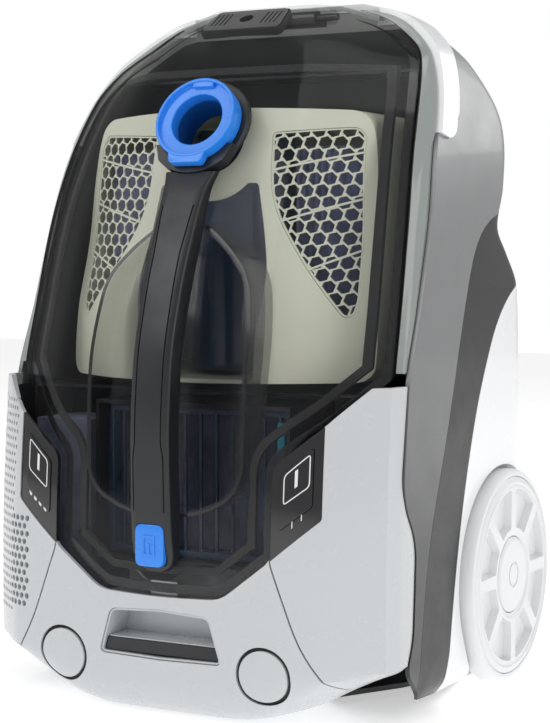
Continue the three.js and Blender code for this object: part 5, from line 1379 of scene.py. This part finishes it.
def make_screws(sizes):
    """Cross-head screws in the rear shell."""
    tree = rows_tree()
    radius = sizes.screw_radius / MM
    head = turned(rounded([(0, -1.2), (radius, -1.2), (radius, 0.5), (radius - 1, 1.0), (0, 1.2)],
                          [0, 0.2, 0.5, 0.6, 0], 3), (0, 0, 0), (0, 1, 0), 32)
    slot_a = block(-radius * 0.7, radius * 0.7, 0.3, 3, -0.45, 0.45)
    slot_b = block(-0.45, 0.45, 0.3, 3, -radius * 0.7, radius * 0.7)
    head = cut(head, join(slot_a, slot_b))
    row = repeated(head, tree, FINISHES["steel"], columns=2, rows=2, column_pitch=0.150, row_pitch=0.170,
                   stagger=0.0)
    piece("rear_screws", moved(row, Matrix.Translation((0, 137.6, 140))), FINISHES["steel"])


def make_trim(sizes):
    """Base plate, and the rubber seal between the dust compartment and the lid."""
    step = sizes.level_step / MM
    half = [(0, -108), (62, -108), (76, -60), (112, 0), (124, 60), (120, 110), (0, 118)]
    plate = plan_prism(rounded(half + [(-x, y) for x, y in reversed(half) if x > 0], 8), 5.2, 8.8)
    plate = cut(plate, wheel_room(WHEEL_RADIUS + 6.5, WHEEL_INNER - 5),
                rod(12, -5, 20, (-60, 70, 0), (0, 0, 1), 48))
    piece("base_plate_cover", plate, FINISHES["dark"], replaces=("base_plate",))
    outer, inner = shrunk(LID_OUTLINE, 14), shrunk(LID_OUTLINE, 19)
    under = keep(front_prism(inner, -FAR, FAR), block(-FAR, FAR, -FAR, FAR, 0, 419))
    strip = cut(front_prism(outer, -FAR, 22), under)
    seal = cut(keep(strip, lid_form(LID_WALL + 1.0, step)), lid_form(LID_WALL + 4, step))
    seal = keep(seal, block(-FAR, FAR, -FAR, FAR, 0, 424))
    piece("bay_seal", seal, FINISHES["rubber"], replaces=("bay_seal",))


KEPT_NODES = {
    "cord_outlet": "rubber", "foot_right": "rubber", "foot_left": "rubber",
    "bay_tray": "dark", "filter_bay": "dark", "exhaust_filter": "foam", "motor_housing": "dark",
    "motor": "steel", "motor_mount": "rubber", "motor_fan": "steel", "reel_frame": "dark",
    "cord_reel": "pale",
    "control_board": "board", "hinge_pin": "grey", "hinge_bracket": "grey", "lid_latch": "steel",
    "wheel_right_axle": "steel", "wheel_left_axle": "steel", "caster_plate": "dark", "caster_fork": "dark",
}


def paint_kept_nodes():
    """Finishes for the CAD pieces that show as they are."""
    for name, tone in KEPT_NODES.items():
        node = frame["nodes"][name]
        if node.material_slots:
            for place in node.material_slots:
                place.link = "OBJECT"
                place.material = FINISHES[tone]
        else:
            node.data.materials.append(FINISHES[tone])


# ---------- stage ----------
WORLD_LIGHT = 0.45
LAMPS = (("key", (-1.0, -1.6, 1.6), 1.3, 12), ("side", (2.0, -0.6, 1.0), 1.2, 9),
         ("top", (0.1, -0.2, 2.2), 1.2, 8), ("rear", (0.9, 1.7, 1.2), 1.2, 9))


def make_stage():
    """Pale floor, soft lights and the camera."""
    scene = bpy.context.scene
    world = bpy.data.worlds.new("studio")
    scene.world = world
    world.use_nodes = True
    back = world.node_tree.nodes["Background"]
    back.inputs["Color"].default_value = (1.0, 1.0, 1.0, 1.0)
    sight = Wiring(world.node_tree)
    direct = sight.node("ShaderNodeLightPath").outputs["Is Camera Ray"]
    glow = sight.node("ShaderNodeMapRange", (direct, 0.0, 1.0, WORLD_LIGHT, 1.0)).outputs[0]
    world.node_tree.links.new(glow, back.inputs["Strength"])
    scene.view_settings.view_transform = "Standard"
    mesh = bpy.data.meshes.new("floor")
    mesh.from_pydata([(-4, -4, 0), (4, -4, 0), (4, 4, 0), (-4, 4, 0)], [], [(0, 1, 2, 3)])
    floor = bpy.data.objects.new("floor", mesh)
    scene.collection.objects.link(floor)
    paint, wiring, shader = finish("studio_floor")
    place = wiring.node("ShaderNodeTexCoord").outputs["Object"]
    drift = wiring.node("ShaderNodeTexNoise", (place, None, 3.0, 2.0, 0.5)).outputs[0]
    tone = wiring.node("ShaderNodeMapRange", (drift, 0.3, 0.7, 0.90, 0.94)).outputs[0]
    mix = wiring.node("ShaderNodeCombineColor", (tone, tone, tone)).outputs[0]
    wiring.tree.links.new(mix, shader.inputs["Base Color"])
    shader.inputs["Roughness"].default_value = 0.6
    shader.inputs["Emission Color"].default_value = (1.0, 1.0, 1.0, 1.0)
    shader.inputs["Emission Strength"].default_value = 0.48
    mesh.materials.append(paint)
    for name, spot, size, power in LAMPS:
        lamp = bpy.data.lights.new(name, "AREA")
        lamp.shape = "SQUARE"
        lamp.size = size
        lamp.energy = power
        light = bpy.data.objects.new(name, lamp)
        light.location = spot
        light.rotation_euler = (Vector((0, 0, 0.24)) - Vector(spot)).to_track_quat("-Z", "Y").to_euler()
        scene.collection.objects.link(light)
    lens = bpy.data.cameras.new("camera")
    lens.sensor_width = 36
    lens.lens = 90.37
    lens.shift_x = -0.0270
    lens.shift_y = -0.0274
    camera = bpy.data.objects.new("camera", lens)
    camera.location = (0.6141, -1.1119, 0.2992)
    camera.rotation_euler = (math.radians(87.2), 0, math.radians(27.9))
    scene.collection.objects.link(camera)
    scene.camera = camera


# ---------- operators ----------
class CLEANER_OT_finishes(bpy.types.Operator):
    """Make the cleaner's plastics, metals, rubber and filter felt"""
    bl_idname = "cleaner.finishes"
    bl_label = "Finishes"

    def execute(self, context):
        FINISHES.update(make_finishes(context.scene.cleaner_colours))
        paint_kept_nodes()
        return {"FINISHED"}


class CLEANER_OT_stage(bpy.types.Operator):
    """Set the floor, the lights and the camera"""
    bl_idname = "cleaner.stage"
    bl_label = "Stage"

    def execute(self, context):
        make_stage()
        return {"FINISHED"}


class CLEANER_OT_shells(bpy.types.Operator):
    """Make the silver and white outer shells, with painted shade on the silver shell's side facets"""
    bl_idname = "cleaner.shells"
    bl_label = "Shells"

    def execute(self, context):
        make_shells(context.scene.cleaner_sizes)
        clear_bench()
        return {"FINISHED"}


class CLEANER_OT_front(bpy.types.Operator):
    """Make the apron, side shells, grip and pads"""
    bl_idname = "cleaner.front"
    bl_label = "Front Panels"

    def execute(self, context):
        make_front(context.scene.cleaner_sizes)
        clear_bench()
        return {"FINISHED"}


class CLEANER_OT_panels(bpy.types.Operator):
    """Make the control panels, their keys and their print"""
    bl_idname = "cleaner.panels"
    bl_label = "Control Panels"

    def execute(self, context):
        make_panels(context.scene.cleaner_sizes)
        clear_bench()
        return {"FINISHED"}


class CLEANER_OT_lid(bpy.types.Operator):
    """Make the transparent lid and its rim strips"""
    bl_idname = "cleaner.lid"
    bl_label = "Smoked Lid"

    def execute(self, context):
        make_lid(context.scene.cleaner_sizes)
        clear_bench()
        return {"FINISHED"}


class CLEANER_OT_inlet(bpy.types.Operator):
    """Make the neck, the duct and the blue ring"""
    bl_idname = "cleaner.inlet"
    bl_label = "Hose Inlet"

    def execute(self, context):
        make_inlet(context.scene.cleaner_sizes)
        clear_bench()
        return {"FINISHED"}


class CLEANER_OT_handle(bpy.types.Operator):
    """Make the carry handle and its release button"""
    bl_idname = "cleaner.handle"
    bl_label = "Carry Handle"

    def execute(self, context):
        make_handle(context.scene.cleaner_sizes)
        clear_bench()
        return {"FINISHED"}


class CLEANER_OT_nose_plate(bpy.types.Operator):
    """Make the plate at the top of the lid"""
    bl_idname = "cleaner.nose_plate"
    bl_label = "Nose Plate"

    def execute(self, context):
        make_nose_plate(context.scene.cleaner_sizes)
        clear_bench()
        return {"FINISHED"}


class CLEANER_OT_dust_box(bpy.types.Operator):
    """Make the dust box and its honeycomb grilles"""
    bl_idname = "cleaner.dust_box"
    bl_label = "Dust Box"

    def execute(self, context):
        make_dust_box(context.scene.cleaner_sizes)
        clear_bench()
        return {"FINISHED"}


class CLEANER_OT_filters(bpy.types.Operator):
    """Make the pleated filters and the motor filter"""
    bl_idname = "cleaner.filters"
    bl_label = "Filters"

    def execute(self, context):
        make_filters(context.scene.cleaner_sizes)
        make_filter_bay(context.scene.cleaner_sizes)
        clear_bench()
        return {"FINISHED"}


class CLEANER_OT_chamber(bpy.types.Operator):
    """Make the transparent dust chamber"""
    bl_idname = "cleaner.chamber"
    bl_label = "Dust Chamber"

    def execute(self, context):
        make_chamber(context.scene.cleaner_sizes)
        clear_bench()
        return {"FINISHED"}


class CLEANER_OT_wheels(bpy.types.Operator):
    """Make both wheels with their spokes and tyres"""
    bl_idname = "cleaner.wheels"
    bl_label = "Wheels"

    def execute(self, context):
        make_wheels(context.scene.cleaner_sizes)
        clear_bench()
        return {"FINISHED"}


class CLEANER_OT_caster(bpy.types.Operator):
    """Make the caster roller under the nose"""
    bl_idname = "cleaner.caster"
    bl_label = "Caster"

    def execute(self, context):
        make_caster(context.scene.cleaner_sizes)
        clear_bench()
        return {"FINISHED"}


class CLEANER_OT_trim(bpy.types.Operator):
    """Make the rubber seal of the dust compartment"""
    bl_idname = "cleaner.trim"
    bl_label = "Seal"

    def execute(self, context):
        make_trim(context.scene.cleaner_sizes)
        clear_bench()
        return {"FINISHED"}


class CLEANER_OT_screws(bpy.types.Operator):
    """Make the screws in the rear shell"""
    bl_idname = "cleaner.screws"
    bl_label = "Screws"

    def execute(self, context):
        make_screws(context.scene.cleaner_sizes)
        clear_bench()
        return {"FINISHED"}


class CLEANER_PT_panel(bpy.types.Panel):
    """Sizes, colours and steps of the canister cleaner"""
    bl_idname = "CLEANER_PT_panel"
    bl_label = "Canister Cleaner"
    bl_space_type = "VIEW_3D"
    bl_region_type = "UI"
    bl_category = "Cleaner"

    def draw(self, context):
        column = self.layout.column()
        for group in (context.scene.cleaner_sizes, context.scene.cleaner_colours):
            for key in group.bl_rna.properties.keys():
                if key not in {"rna_type", "name"}:
                    column.prop(group, key)
        for step in STEPS:
            column.operator(step.bl_idname)


STEPS = (
    CLEANER_OT_finishes,
    CLEANER_OT_shells,
    CLEANER_OT_front,
    CLEANER_OT_panels,
    CLEANER_OT_lid,
    CLEANER_OT_inlet,
    CLEANER_OT_handle,
    CLEANER_OT_nose_plate,
    CLEANER_OT_dust_box,
    CLEANER_OT_filters,
    CLEANER_OT_chamber,
    CLEANER_OT_wheels,
    CLEANER_OT_caster,
    CLEANER_OT_trim,
    CLEANER_OT_screws,
    CLEANER_OT_stage,
)
CLASSES = (CleanerSizes, CleanerColours, *STEPS, CLEANER_PT_panel)


def register():
    for item in CLASSES:
        bpy.utils.register_class(item)
    bpy.types.Scene.cleaner_sizes = bpy.props.PointerProperty(type=CleanerSizes)
    bpy.types.Scene.cleaner_colours = bpy.props.PointerProperty(type=CleanerColours)


def unregister():
    del bpy.types.Scene.cleaner_colours
    del bpy.types.Scene.cleaner_sizes
    for item in reversed(CLASSES):
        bpy.utils.unregister_class(item)


def main():
    register()
    bpy.ops.cleaner.finishes()
    bpy.ops.cleaner.shells()
    bpy.ops.cleaner.front()
    bpy.ops.cleaner.panels()
    bpy.ops.cleaner.lid()
    bpy.ops.cleaner.inlet()
    bpy.ops.cleaner.handle()
    bpy.ops.cleaner.nose_plate()
    bpy.ops.cleaner.dust_box()
    bpy.ops.cleaner.filters()
    bpy.ops.cleaner.chamber()
    bpy.ops.cleaner.wheels()
    bpy.ops.cleaner.caster()
    bpy.ops.cleaner.trim()
    bpy.ops.cleaner.screws()
    bpy.ops.cleaner.stage()
    bpy.data.collections.remove(workshop())


if __name__ == "__main__":
    main()
